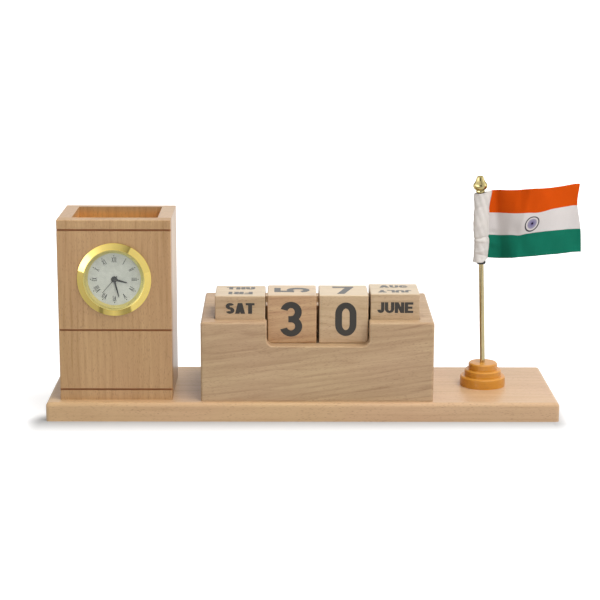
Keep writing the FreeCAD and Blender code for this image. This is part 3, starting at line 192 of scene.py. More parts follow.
def around(across, along, stops, most=1.0):
    """A brightness by the angle of (along, across), given as (degrees, value) pairs in order."""
    share = remap(across.calc("ARCTAN2", along), -math.pi, math.pi)
    ramp = add(share.tree, "ValToRGB", {0: share})
    points = ramp.color_ramp.elements
    while len(points) < len(stops):
        points.new(1.0)
    for point, (angle, value) in zip(points, stops):
        point.position = (angle + 180) / 360
        point.color = (value / most,) * 3 + (1.0,)
    return Signal(ramp.outputs[0]) * most


def effect(name, inputs, outputs):
    """Makes a node group of a function; a call of that adds the group to its Vector's tree."""
    kinds = {type(None): "Vector", tuple: "Color", float: "Float"}

    def wrap(build):
        def start():
            group = bpy.data.node_groups.new(name, "ShaderNodeTree")
            for label, value in inputs.items():
                socket = group.interface.new_socket(
                    label, in_out="INPUT", socket_type="NodeSocket" + kinds[type(value)])
                if value is not None:
                    socket.default_value = value
            for label in outputs:
                kind = "NodeSocketColor" if label == "Color" else "NodeSocketFloat"
                group.interface.new_socket(label, in_out="OUTPUT", socket_type=kind)
            given = group.nodes.new("NodeGroupInput").outputs
            results = build(*(Signal(given[label]) for label in inputs))
            fill(group.nodes.new("NodeGroupOutput"), dict(zip(outputs, results)))
            return group

        def use(**values):
            node = add(values["Vector"].tree, "Group")
            node.node_tree = bpy.data.node_groups.get(name) or start()
            feed(node, **values)
            return {socket.name: Signal(socket) for socket in node.outputs}

        return use

    return wrap


@effect("beech_grain",
        {"Vector": None, "Light": WHITE, "Dark": (0.5, 0.5, 0.5, 1), "Fleck": (0.3, 0.2, 0.1, 1),
         "Ring Gap": 3.0, "Flecks": 0.5, "Contrast": 1.0},
        ("Color", "Roughness", "Height"))
def beech_grain(vector, light, dark, fleck, ring_gap, flecks, contrast):
    """Close straight beech grain along X: soft bands, growth lines, streaks and short flecks."""
    tree = vector.tree
    blush = remap(noise(vector, (0.012, 0.02, 0.02), detail=1.0), 0.35, 0.65)
    sway = noise(vector, (0.012, 0.05, 0.05))
    offset = out(tree, "CombineXYZ", {1: sway * 14.0, 2: sway * 9.0})
    swayed = out(tree, "VectorMath", {0: vector, 1: offset}, operation="ADD")
    flat = place(swayed, scale=(0, 1, 1))
    turns = out(tree, "VectorMath", {0: flat}, "Value", operation="LENGTH") / ring_gap
    phase = turns.calc("FRACT")
    late = remap(phase, 0.55, 0.92, smooth=True) * remap(phase, 1.0, 0.93)
    late = late * remap(noise(vector, (0.06, 0.35, 0.35)), 0.42, 0.6, 0.25, 1.0)
    ring = out(tree, "CombineXYZ", {0: turns.calc("FLOOR")})
    late = late * remap(noise(ring, detail=0.0, scale=3.7), 0.3, 0.7, 0.2, 1.0)
    broad = remap(noise(vector, (0.004, 0.06, 0.06), detail=3.0), 0.3, 0.7)
    streak = remap(noise(vector, (0.02, 0.5, 0.5), detail=4.0, roughness=0.6), 0.3, 0.7)
    fibre = remap(noise(vector, (0.25, 5.0, 5.0)), 0.3, 0.7)
    mean = 0.42
    tone = broad * 0.36 + streak * 0.3 + late * 0.36 + fibre * 0.14 - mean
    tone = (tone * contrast).calc("ADD", mean, clamp=True)
    wood = tint(blush, tint(tone, light, dark), (1.0, 0.97, 1.02, 1), blend="MULTIPLY")
    cells = {"Vector": place(vector, scale=(0.3, 1.9, 1.9)), "Scale": 1.0}
    cells = out(tree, "TexVoronoi", cells, "Distance")
    patch = remap(noise(vector, (0.03, 0.12, 0.12)), 0.35, 0.65)
    spot = remap(cells, 0.14, 0.3, 1.0, 0.0, smooth=True)
    spot = spot * remap(patch, 0.0, 1.0, 0.35, 1.0) * flecks
    roughness = remap(streak, 0.0, 1.0, 0.36, 0.46) + spot * 0.1
    return tint(spot, wood, fleck), roughness, fibre * 0.5 - spot * 0.8


@effect("fine_wear", {"Vector": None, "Size": 1.0, "Roughness": 0.3, "Spread": 0.1},
        ("Mask", "Roughness", "Height"))
def fine_wear(vector, size_share, roughness, spread):
    """Fine handling marks: a tone mask, a roughness and a height that vary over the surface."""
    vector = out(vector.tree, "VectorMath", {0: vector, 3: size_share}, operation="SCALE")
    cloud = noise(vector, detail=4.0, roughness=0.6, scale=0.35)
    grit = noise(vector, scale=6.0)
    scratch = noise(vector, (0.3, 9.0, 9.0), rotation=(0.4, 0.7, 0.3))
    mask = remap(cloud * 0.7 + scratch * 0.3, 0.3, 0.7)
    rough = roughness.calc("ADD", (mask - 0.5) * spread, clamp=True)
    return mask, rough, grit * 0.6 + scratch * 0.4


@effect("plain_weave", {"Vector": None, "Thread": 0.25}, ("Tone", "Height"))
def plain_weave(vector, thread):
    """A plain weave over a sheet measured in millimetres: the threads' tone and height."""
    turns = [value / thread for value in axes(vector)[:2]]
    waves = [abs((value * math.pi).calc("SINE")) for value in turns]
    floors = [value.calc("FLOOR") for value in turns]
    over = (floors[0] + floors[1]).calc("FLOORED_MODULO", 2.0)
    height = waves[0] * over + waves[1] * (1.0 - over)
    slubs = noise(vector, (0.15, 4.0, 1)) + noise(vector, (4.0, 0.15, 1))
    return height * 0.4 + slubs * 0.3, height


def material(name, metallic=0.0, roughness=0.5, **sockets):
    """A material with one Principled shader; returns it and the shader."""
    made = bpy.data.materials.new(name)
    made.use_nodes = True
    made.node_tree.nodes.clear()
    shader = add(made.node_tree, "BsdfPrincipled")
    feed(shader, Metallic=metallic, Roughness=roughness, **sockets)
    add(made.node_tree, "OutputMaterial", {0: Signal(shader.outputs[0])})
    return made, shader


# ---------------------------------------------------------------- meshes


def piece(name, bm, finish, body=None, replaces=(), smooth=False):
    """Turns a bmesh into an object, and names the body it rides on; without one it rides on none.
    """
    mesh = bpy.data.meshes.new(name)
    bm.to_mesh(mesh)
    bm.free()
    for polygon in mesh.polygons:
        polygon.use_smooth = smooth
    mesh.materials.append(finish)
    made = bpy.data.objects.new(name, mesh)
    bpy.context.scene.collection.objects.link(made)
    if body is None:
        return made
    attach(made, body)
    if replaces:
        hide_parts(*replaces)
    return made


def dress(node, finish):
    """Gives a carried-over part its finish."""
    NODES[node].material_slots[0].material = finish


def added(bm, known):
    """The points of a bmesh that aren't in a set of known ones."""
    return [vert for vert in bm.verts if vert not in known]


def extruded(geometry):
    return [item for item in geometry if isinstance(item, bmesh.types.BMVert)]


def layer(bm):
    """A height for the next stroke, a hair above the last, so that crossing ones share no face."""
    return max((vert.co.z for vert in bm.verts), default=0.0) + 0.0015 * MM


def slab(bm, x0, y0, x1, y1, wide):
    """A flat stroke with level ends: from x0 at y0 to x1 at y1, this wide."""
    z = layer(bm)
    verts = bmesh.ops.create_grid(bm, x_segments=1, y_segments=1, size=0.5)["verts"]
    shape = Matrix((
        (wide, x1 - x0, 0, (x0 + x1 + wide) / 2),
        (0, y1 - y0, 0, (y0 + y1) / 2),
        (0, 0, 1, z),
        (0, 0, 0, 1),
    ))
    bmesh.ops.transform(bm, matrix=shape, verts=verts)


def hoop(bm, x, y, across, high, start, stop, side, cap):
    """A flat bow round (x, y): half sizes, end angles, and width at the side and at the top."""
    z = layer(bm)
    angle = math.radians(stop - start)
    first = math.radians(start)
    seed = bmesh.ops.create_vert(bm, co=(math.cos(first), math.sin(first), 0))["vert"]
    known = set(bm.verts)
    steps = max(4, round(abs(stop - start) / 9))
    bmesh.ops.spin(bm, geom=seed, axis=UP, cent=(0, 0, 0), angle=angle, steps=steps)
    outer = seed + added(bm, known)
    edges = list({e for v in outer for e in v.link_edges})
    bmesh.ops.scale(bm, vec=(across, high, 1), verts=outer)
    inner = extruded(bmesh.ops.extrude_edge_only(bm, edges=edges)["geom"])
    share = ((across - side) / across, (high - cap) / high, 1)
    bmesh.ops.scale(bm, vec=share, verts=inner)
    bmesh.ops.translate(bm, vec=(x, y, z), verts=outer + inner)


def glyph(bm, sign, w, h, s, t):
    """A letter or digit w wide and h high; s is its stems' width and t its level strokes'."""
    half, bow = w / 2, (h + t) / 4
    mid = h / 2 - t / 2
    lean = s * 1.12

    def stem(x, y0=0.0, y1=h, wide=s):
        slab(bm, x, y0, x, y1, wide)

    def level(y, x0=0.0, x1=w):
        slab(bm, x0, y, x0, y + t, x1 - x0)

    def slant(x0, y0, x1, y1, wide=lean):
        slab(bm, x0, y0, x1, y1, wide)

    def turn(x, y, across, high, start, stop):
        hoop(bm, x, y, across, high, start, stop, s, t)

    def ring(y0, y1, straight=0.3):
        """A closed upright oval from y0 to y1 with straight sides."""
        high = (y1 - y0) / 2
        arc = high * (1 - straight)
        turn(half, y1 - arc, half, arc, 0, 180)
        turn(half, y0 + arc, half, arc, 180, 360)
        stem(0, y0 + arc, y1 - arc)
        stem(w - s, y0 + arc, y1 - arc)

    def bowl(y0, y1, x=0.55):
        """The round part of B, D, P and R."""
        high = (y1 - y0) / 2
        level(y0, s, w * x)
        level(y1 - t, s, w * x)
        turn(w * x, y0 + high, w * (1 - x), high, -90, 90)

    def cup(y):
        turn(half, y, half, y, 180, 360)
        stem(0, y)
        stem(w - s, y)

    def peaks(wide, *lines):
        """Slanting strokes of one width, each from a foot to a top."""
        for foot, top in lines:
            slant(foot, 0, top, h, wide)

    def double_peaks(wide):
        """The four strokes of a W."""
        left, right, top = w * 0.25 - wide / 2, w * 0.75 - wide / 2, half - wide / 2
        peaks(wide, (left, 0), (left, top), (right, top), (right, w - wide))

    signs = {
        "0": lambda: ring(0, h),
        "1": lambda: (stem(w * 0.55), slant(w * 0.12, h * 0.72, w * 0.55, h - t * 0.2, s * 0.8)),
        "2": lambda: (turn(half, h - bow * 1.15, half, bow * 1.15, -38, 170), level(0),
                      slant(0, t, w * 0.62, h * 0.47)),
        "3": lambda: (turn(half, h - bow, half * 0.96, bow, -90, 163),
                      turn(half, bow, half, bow, -163, 90), level(mid, w * 0.38, half)),
        "4": lambda: (stem(w * 0.55), level(h * 0.2),
                      slant(0, h * 0.2 + t, w * 0.55, h, s * 0.9)),
        "5": lambda: (level(h - t, w * 0.08, w * 0.95),
                      slant(w * 0.04, h * 0.44, w * 0.1, h - t, s * 0.9),
                      turn(half, h * 0.325, half, h * 0.325, -160, 140)),
        "6": lambda: (turn(half, h * 0.33, half, h * 0.33, 0, 180),
                      turn(half, h * 0.33, half, h * 0.33, 180, 360),
                      stem(0, h * 0.33, h * 0.62),
                      turn(half, h * 0.62, half, h * 0.38, 25, 180)),
        "7": lambda: (level(h - t), slant(w * 0.18, 0, w - s * 1.25, h - t, s * 1.1)),
        "8": lambda: (ring(0, h * 0.5 + t / 2, 0.1), ring(h * 0.5 - t / 2, h, 0.1)),
        "A": lambda: (peaks(lean, (0, half - lean / 2), (w - lean, half - lean / 2)),
                      level(h * 0.2, w * 0.2, w * 0.8)),
        "B": lambda: (stem(0), bowl(0, h / 2 + t / 2), bowl(h / 2 - t / 2, h, 0.5)),
        "C": lambda: turn(half, h / 2, half, h / 2, 38, 322),
        "D": lambda: (stem(0), bowl(0, h, 0.4)),
        "E": lambda: (stem(0), level(0), level(mid, 0, w * 0.9), level(h - t)),
        "F": lambda: (stem(0), level(mid, 0, w * 0.9), level(h - t)),
        "G": lambda: (turn(half, h / 2, half, h / 2, 38, 345), level(mid * 0.95, half, w)),
        "H": lambda: (stem(0), stem(w - s), level(mid)),
        "I": lambda: stem(half - s / 2),
        "J": lambda: (stem(w - s, h * 0.33), turn(half, h * 0.33, half, h * 0.33, 185, 360)),
        "L": lambda: (stem(0), level(0)),
        "M": lambda: (stem(0, wide=s * 0.75), stem(w - s * 0.75, wide=s * 0.75),
                      peaks(s * 0.6, (half - s * 0.3, s * 0.1), (half - s * 0.3, w - s * 0.7))),
        "N": lambda: (stem(0), stem(w - s), slant(w - s * 1.1, 0, s * 0.1, h, s)),
        "O": lambda: ring(0, h, 0.08),
        "P": lambda: (stem(0), bowl(h * 0.42, h, 0.5)),
        "R": lambda: (stem(0), bowl(h * 0.42, h, 0.5),
                      slant(w - lean, 0, half - s * 0.3, h * 0.45)),
        "S": lambda: (turn(half, h - bow, half * 0.97, bow, 22, 270),
                      turn(half, bow, half, bow, -158, 90)),
        "T": lambda: (stem(half - s / 2), level(h - t)),
        "U": lambda: cup(h * 0.4),
        "V": lambda: peaks(lean, (half - s / 2, 0), (half - s / 2, w - lean)),
        "W": lambda: double_peaks(s * 0.7),
        "X": lambda: peaks(s, (0, w - s), (w - s, 0)),
        "Y": lambda: (stem(half - s / 2, 0, h * 0.45), slant(half - s / 2, h * 0.42, 0, h),
                      slant(half - s / 2, h * 0.42, w - lean, h)),
    }
    signs[sign]()


def line_up(bm, text, widths, gap, high, foot, stem, cap):
    """A line of signs of given widths, centred on x = 0, on a foot line."""
    x = -(sum(widths) + gap * (len(text) - 1)) / 2
    for sign, wide in zip(text, widths):
        before = set(bm.verts)
        glyph(bm, sign, wide, high, stem, cap)
        bmesh.ops.translate(bm, vec=(x, foot, 0), verts=added(bm, before))
        x += wide + gap


LETTER_WIDTH = {"A": 1.14, "I": 0.5, "J": 0.74, "M": 1.25, "W": 1.4, "L": 0.85, "E": 0.9, "F": 0.84}


def word(bm, text, wide, high, stem, cap):
    """A line of letters, centred on the origin, fitted to a width and a height."""
    shares = [LETTER_WIDTH.get(letter, 1.0) for letter in text]
    gap = stem * 0.14
    unit = (wide - gap * (len(text) - 1)) / sum(shares)
    line_up(bm, text, [unit * share for share in shares], gap, high, -high / 2, stem, cap)


def thicken(bm, depth):
    """Gives flat strokes their thickness, from the face they lie on outwards."""
    bmesh.ops.remove_doubles(bm, verts=bm.verts, dist=1e-9)
    bmesh.ops.recalc_face_normals(bm, faces=bm.faces)
    flat = bm.faces[:]
    bmesh.ops.reverse_faces(bm, faces=[face for face in flat if face.normal.z < 0])
    made = bmesh.ops.extrude_face_region(bm, geom=flat, use_keep_orig=True)["geom"]
    bmesh.ops.translate(bm, vec=(0, 0, depth), verts=extruded(made))
    bmesh.ops.recalc_face_normals(bm, faces=bm.faces)


def facing(origin, right, up):
    """A frame whose X and Y lie on a face and whose Z points out of it."""
    right, up = Vector(right).normalized(), Vector(up).normalized()
    outward = right.cross(up)
    return Matrix.Translation(origin) @ Matrix((right, up, outward)).transposed().to_4x4()


def join(bm, other, matrix):
    """Adds another bmesh at a place, and frees it."""
    mesh = bpy.data.meshes.new("part")
    bmesh.ops.transform(other, matrix=matrix, verts=other.verts)
    other.to_mesh(mesh)
    other.free()
    bm.from_mesh(mesh)
    bpy.data.meshes.remove(mesh)


def pole_frame(lean):
    """The frame at the pole's foot, with Z along the pole."""
    foot = Vector((BASE_CENTRE.x - POLE_SOCKET * math.sin(lean), 0, BASE_TOP))
    return Matrix.Translation(foot) @ Matrix.Rotation(-lean, 4, "Y")


def share_of(value, span):
    """How far a value has come towards a span, from 0 to 1."""
    return min(1.0, max(0.0, value / span))


def hump(value, at, spread):
    return math.exp(-((value - at) / spread) ** 2)


# ---------------------------------------------------------------- settings


def size(name, text, default):
    return FloatProperty(name=name, description=text, default=default, unit="LENGTH", precision=5)


def number(name, text, default, subtype="NONE"):
    return FloatProperty(name=name, description=text, default=default, subtype=subtype)


def colour(name, text, default):
    return FloatVectorProperty(
        name=name, description=text, default=default, subtype="COLOR", size=3, min=0, max=1)


class DeskSetWood(bpy.types.PropertyGroup):
    stand_light: colour("Light stand", "Early wood of the pen stand", rgb(195, 159, 114))
    stand_dark: colour("Dark stand", "Late wood of the pen stand", rgb(164, 127, 84))
    board_light: colour("Light board", "Early wood of the board", rgb(204, 171, 131))
    board_dark: colour("Dark board", "Late wood of the board", rgb(180, 146, 106))
    block_light: colour("Light block", "Early wood of the calendar block", rgb(188, 160, 123))
    block_dark: colour("Dark block", "Late wood of the calendar block", rgb(155, 124, 91))
    cube_light: colour("Light cube", "Early wood of the cubes", rgb(204, 177, 141))
    cube_dark: colour("Dark cube", "Late wood of the cubes", rgb(170, 141, 102))
    # painted light: the colour the cubes' upper faces are painted towards, where the light from
    # above falls
    cube_top_light: colour("Cube top", "Paler wood of the cubes' upper faces", rgb(222, 209, 181))
    ripe_light: colour("Light orange cube", "Early wood of the left digit cube", rgb(202, 168, 124))
    ripe_dark: colour("Dark orange cube", "Late wood of the left digit cube", rgb(164, 124, 86))
    fleck: colour("Flecks", "Short rays in the beech", rgb(112, 76, 48))
    groove: colour("Groove", "Dark bottoms of the saw cuts", rgb(166, 112, 68))
    ring_gap: number("Ring gap", "Distance between growth lines in millimetres", 3.6)


class DeskSetPrint(bpy.types.PropertyGroup):
    ink: colour("Ink", "Printing on the cubes", rgb(36, 30, 20))
    digit_high: size("Digit height", "Height of a day number", 21.0 * MM)
    digit_wide: size("Digit width", "Width of a day number", 13.7 * MM)
    digit_stroke: size("Digit stroke", "Width of a number's strokes", 4.2 * MM)
    word_high: size("Word height", "Height of a day or month name", 6.7 * MM)
    proud: size("Ink thickness", "How far the ink stands off the wood", 0.03 * MM)


class DeskSetFlag(bpy.types.PropertyGroup):
    orange: colour("Top stripe", "Colour of the upper stripe", rgb(205, 77, 12))
    white: colour("Middle stripe", "Colour of the middle stripe", rgb(209, 202, 199))
    green: colour("Bottom stripe", "Colour of the lower stripe", rgb(22, 108, 86))
    navy: colour("Wheel", "Colour of the wheel in the middle", rgb(84, 74, 132))
    rim: colour("Wheel rim", "Colour of the wheel's rim and hub", rgb(42, 33, 46))
    sleeve: colour("Sleeve", "Colour of the sleeve and its thread", rgb(217, 211, 206))
    reach: size("Reach", "From the pole's axis to the free edge", 62.0 * MM)
    foot: size("Foot", "Height of the cloth's lower edge along the pole", 68.3 * MM)
    high: size("Height", "Height of the cloth", 41.8 * MM)
    thick: size("Thickness", "Thickness of the cloth", 0.35 * MM)
    lean: number("Lean", "The pole's lean", math.radians(2.2), "ANGLE")


class DeskSetClock(bpy.types.PropertyGroup):
    gold: colour("Gold", "Plating of the bezel", rgb(236, 210, 121))
    ring: colour("Inner ring", "Plating of the ring inside the bezel", rgb(208, 192, 114))
    # painted light: the paler colour laid on the ring's upper right side
    ring_painted_light: colour("Pale ring", "Where the ring's patina is thin", rgb(250, 244, 150))
    dial: colour("Dial", "Paint of the dial", rgb(216, 219, 205))
    paint: colour("Paint", "Hands and numerals", rgb(56, 58, 54))
    numeral_foot: size("Numeral foot", "Radius of the numerals' inner ends", 10.35 * MM)
    numeral_high: size("Numeral height", "Height of the numerals", 3.3 * MM)
    dot_radius: size("Dot radius", "Radius of the hour dots", 0.34 * MM)
    dot_circle: size("Dot circle", "Radius of the circle that the dots lie on", 14.4 * MM)


class DeskSetBase(bpy.types.PropertyGroup):
    lacquer: colour("Lacquer", "Light parts of the lacquered base", rgb(207, 145, 46))
    lacquer_dark: colour("Dark lacquer", "Dark parts of the lacquered base", rgb(178, 112, 24))
    brass: colour("Brass", "Plating of the pole", rgb(206, 190, 146))
    knob: colour("Finial", "Plating of the finial", rgb(200, 184, 130))
    rim: colour("Brass rims", "What the brass turns to at its sides", rgb(166, 150, 108))


class DeskSetStage(bpy.types.PropertyGroup):
    floor: colour("Floor", "Colour of the floor", (0.6, 0.6, 0.6))
    glow: number("Floor glow", "How much white the camera sees on the floor", 0.65)
    key: number("Key light", "Power of the large light", 18.5, "POWER")
    fill: number("Fill light", "Power of the second light", 6.1, "POWER")
    back: number("Back light", "Power of the light behind", 2.5, "POWER")
    ambient: number("Ambient", "Strength of the even light", 0.4)
    lens: number("Lens", "Focal length on a 36 mm sensor", 102.917)


GROUPS = {
    "desk_wood": DeskSetWood, "desk_print": DeskSetPrint, "desk_flag": DeskSetFlag,
    "desk_clock": DeskSetClock, "desk_base": DeskSetBase, "desk_stage": DeskSetStage,
}


# ---------------------------------------------------------------- finishes


def beech(name, light, dark, look, gap=1.0, contrast=1.4, coat=0.0, gloss=0.3, **mapping):
    """Beech whose grain follows X once the mapping has turned the piece's coordinates."""
    made, shader = material(name, IOR=1.5, Coat_Weight=coat, Coat_Roughness=gloss)
    grain = beech_grain(
        Vector=object_mm(shader, **mapping), Light=rgba(light), Dark=rgba(dark),
        Fleck=rgba(look.fleck), Ring_Gap=look.ring_gap * gap, Flecks=0.55, Contrast=contrast)
    feed(shader, Base_Color=grain["Color"], Roughness=grain["Roughness"],
         Normal=bump(grain["Height"], 0.25, 0.00012))
    return made, shader, grain["Color"]


def metal(name, tone, roughness=0.25, spread=0.12, grit=0.05, metallic=1.0, marks=1.0, **sockets):
    """Metal, plastic, rubber or paint with fine handling marks."""
    made, shader = material(name, metallic=metallic, **sockets)
    wear = fine_wear(Vector=object_mm(shader), Size=marks, Roughness=roughness, Spread=spread)
    feed(shader, Base_Color=tint(wear["Mask"], rgba(tone, 0.82), rgba(tone)),
         Roughness=wear["Roughness"], Normal=bump(wear["Height"], grit, 0.0001))
    return made


# ---------------------------------------------------------------- operators


class DeskSetOperator:
    bl_options = {"REGISTER", "UNDO"}

    def execute(self, context):
        self.build(context.scene)
        return {"FINISHED"}


class DESKSET_OT_stage(DeskSetOperator, bpy.types.Operator):
    """Camera, floor, lights and surroundings"""
    bl_idname = "deskset.stage"
    bl_label = "Stage"

    CAMERA_SPOT = (-0.012595, -1.049945, 0.299393)
    CAMERA_TURNS = ((-0.010396, "Z"), (math.pi / 2 - 0.218547, "X"), (0.004113, "Z"))
    FLOOR_REACH = 12.0
    FLOOR_LIFT = 0.02 * MM
    # each lamp's spot and width, in metres, and the point that all of them face
    LAMPS = {
        "key": ((0.5, -0.3, 1.25), 1.2),
        "fill": ((0.55, -1.35, 0.5), 1.0),
        "back": ((-0.1, 1.3, 0.9), 1.5),
    }
    AIM = Vector((0, 0, 0.05))
    # what polished metal sees: the room's brightness by the angle round the line of sight,
    # clockwise from the top, in degrees
    ROOM_SHINE = (
        (-104, 1.0), (-102, 0.2), (-94.5, 0.2), (-93, 3.2), (-80, 4.8), (-64, 3.8), (-57, 1.8),
        (-32, 1.08), (-8, 0.84), (8, 0.7), (22, 0.46), (28, 0.3), (29.5, 0.9), (60, 0.93),
        (100, 0.9), (130, 1.0),
    )
    # and on the floor, by the angle from straight ahead of the clock towards the right
    FLOOR_SHINE = (
        (-130, 1.0), (-90, 0.8), (-67, 0.66), (-65.5, 0.56), (-56, 0.55), (-54, 0.28), (-49, 0.26),
        (-47, 0.56), (-34, 0.66), (-17, 0.8), (0, 0.68), (24, 0.42), (40, 0.37), (42, 0.96),
        (60, 0.9), (110, 1.0),
    )
    # what windows at the sides add, and what the dim side at the back left takes away
    SIDE_SHINE = 0.8
    BACK_SHADE = 0.3
    # the way towards the viewer, and the share of the brightness that is left there
    VIEWER = (0, -0.963, 0.27)
    VIEWER_SHARE = 0.3

    def build(self, scene):
        look = scene.desk_stage
        scene.view_settings.view_transform = "Standard"
        self.camera(scene, look)
        self.floor(look)
        self.surroundings(scene, look)
        for name, (spot, wide) in self.LAMPS.items():
            self.lamp(scene, name, spot, wide, getattr(look, name))

    def camera(self, scene, look):
        camera = bpy.data.objects.new("Camera", bpy.data.cameras.new("Camera"))
        scene.collection.objects.link(camera)
        camera.data.sensor_width = 36.0
        camera.data.lens = look.lens
        camera.data.clip_start = 0.01
        matrix = Matrix.Translation(self.CAMERA_SPOT)
        for angle, axis in self.CAMERA_TURNS:
            matrix = matrix @ Matrix.Rotation(angle, 4, axis)
        camera.matrix_world = matrix
        scene.camera = camera

    def floor(self, look):
        """A floor that the camera sees as white but for the shadow close to the board, partly cast
        by the lamps and partly painted.
        """
        made, shader = material("floor", roughness=0.9)
        path = add(made.node_tree, "LightPath").outputs
        seen, gloss = Signal(path["Is Camera Ray"]), Signal(path["Is Glossy Ray"])
        spot = coordinates(shader, "Object")
        x, y, _ = axes(spot)
        reach = out(spot.tree, "VectorMath", {0: spot}, "Value", operation="LENGTH")
        # painted shadow: in these strips the glow is taken away and the floor's colour darkened
        painted_shadow = self.painted_shadow_strips(x, y)
        glow = remap(reach, 0.3, 0.9, look.glow, 1.0, smooth=True)
        glow = glow * remap(painted_shadow, 0.0, 1.0, 1.0, 0.0)
        shown = around(x - DIAL_CENTRE.x, DIAL_FRONT - y, self.FLOOR_SHINE)
        painted_shadow_ground = tint(painted_shadow, rgba(look.floor), rgba(look.floor, 0.78))
        feed(shader, Base_Color=tint(gloss, painted_shadow_ground, (0, 0, 0, 1)), Emission_Color=WHITE,
             Emission_Strength=seen * glow + gloss * shown)
        bm = bmesh.new()
        grid = bmesh.ops.create_grid(bm, x_segments=1, y_segments=1, size=self.FLOOR_REACH)
        bmesh.ops.translate(bm, vec=(0, 0, self.FLOOR_LIFT), verts=grid["verts"])
        piece("floor", bm, made)

    def painted_shadow_strips(self, x, y):
        """A mask of the floor's strips before the board and at its right end, where shadow is
        painted, also where the lamps cast none.
        """
        low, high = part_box("base_board")
        ahead = (remap(y, low.y + 0.02, low.y, smooth=True)
                 * remap(y, low.y - 0.034, low.y - 0.002)
                 * remap(x, low.x - 0.018, low.x - 0.002, smooth=True)
                 * remap(x, high.x + 0.012, high.x - 0.004, smooth=True))
        beside = (remap(x, high.x + 0.014, high.x - 0.004, smooth=True)
                  * remap(x, high.x - 0.02, high.x - 0.004)
                  * remap(y, 0.03, 0.0, smooth=True)
                  * remap(y, low.y - 0.03, low.y - 0.004))
        return highest(ahead, beside)

    def surroundings(self, scene, look):
        world = bpy.data.worlds.new("surroundings")
        world.use_nodes = True
        tree = world.node_tree
        tree.nodes.clear()
        path = add(tree, "LightPath").outputs
        seen, gloss, through = (
            Signal(path[f"Is {kind} Ray"]) for kind in ("Camera", "Glossy", "Transmission"))
        white = seen.calc("ADD", gloss + through, clamp=True)
        dim, bright = (
            out(tree, "Background", {0: WHITE, 1: strength})
            for strength in (look.ambient, self.room(gloss)))
        mixed = out(tree, "MixShader", {0: white, 1: dim, 2: bright})
        add(tree, "OutputWorld", {0: mixed}, is_active_output=True)
        scene.world = world

    def room(self, gloss):
        """The room's strength in reflections: windows at the sides, dark where one looks from."""
        way = out(gloss.tree, "TexCoord", key="Generated")
        x, y, z = axes(way)
        shown = around(x, z, self.ROOM_SHINE, most=6.0)
        inputs = {0: way, 1: self.VIEWER}
        ahead = out(way.tree, "VectorMath", inputs, "Value", operation="DOT_PRODUCT")
        shown = shown * remap(ahead, 0.885, 0.93, 1.0, self.VIEWER_SHARE, smooth=True)
        front = remap(y, -0.2, -0.35, smooth=True)
        sides = remap(abs(x), 0.7, 0.92, to_high=self.SIDE_SHINE, smooth=True)
        shown = tint(front, sides, shown - 1.0)
        behind = remap(y, 0.2, 0.5, smooth=True)
        behind = behind * remap(x, -0.3, 0.3, -self.BACK_SHADE, 0.0, smooth=True)
        return (shown + behind) * gloss + 1.0

    def lamp(self, scene, name, spot, wide, power):
        light = bpy.data.lights.new(name, "AREA")
        light.shape = "DISK"
        light.size = wide
        light.energy = power
        made = bpy.data.objects.new(name, light)
        scene.collection.objects.link(made)
        made.visible_glossy = False
        turn = (self.AIM - Vector(spot)).to_track_quat("-Z", "Y").to_matrix().to_4x4()
        made.matrix_world = Matrix.Translation(spot) @ turn


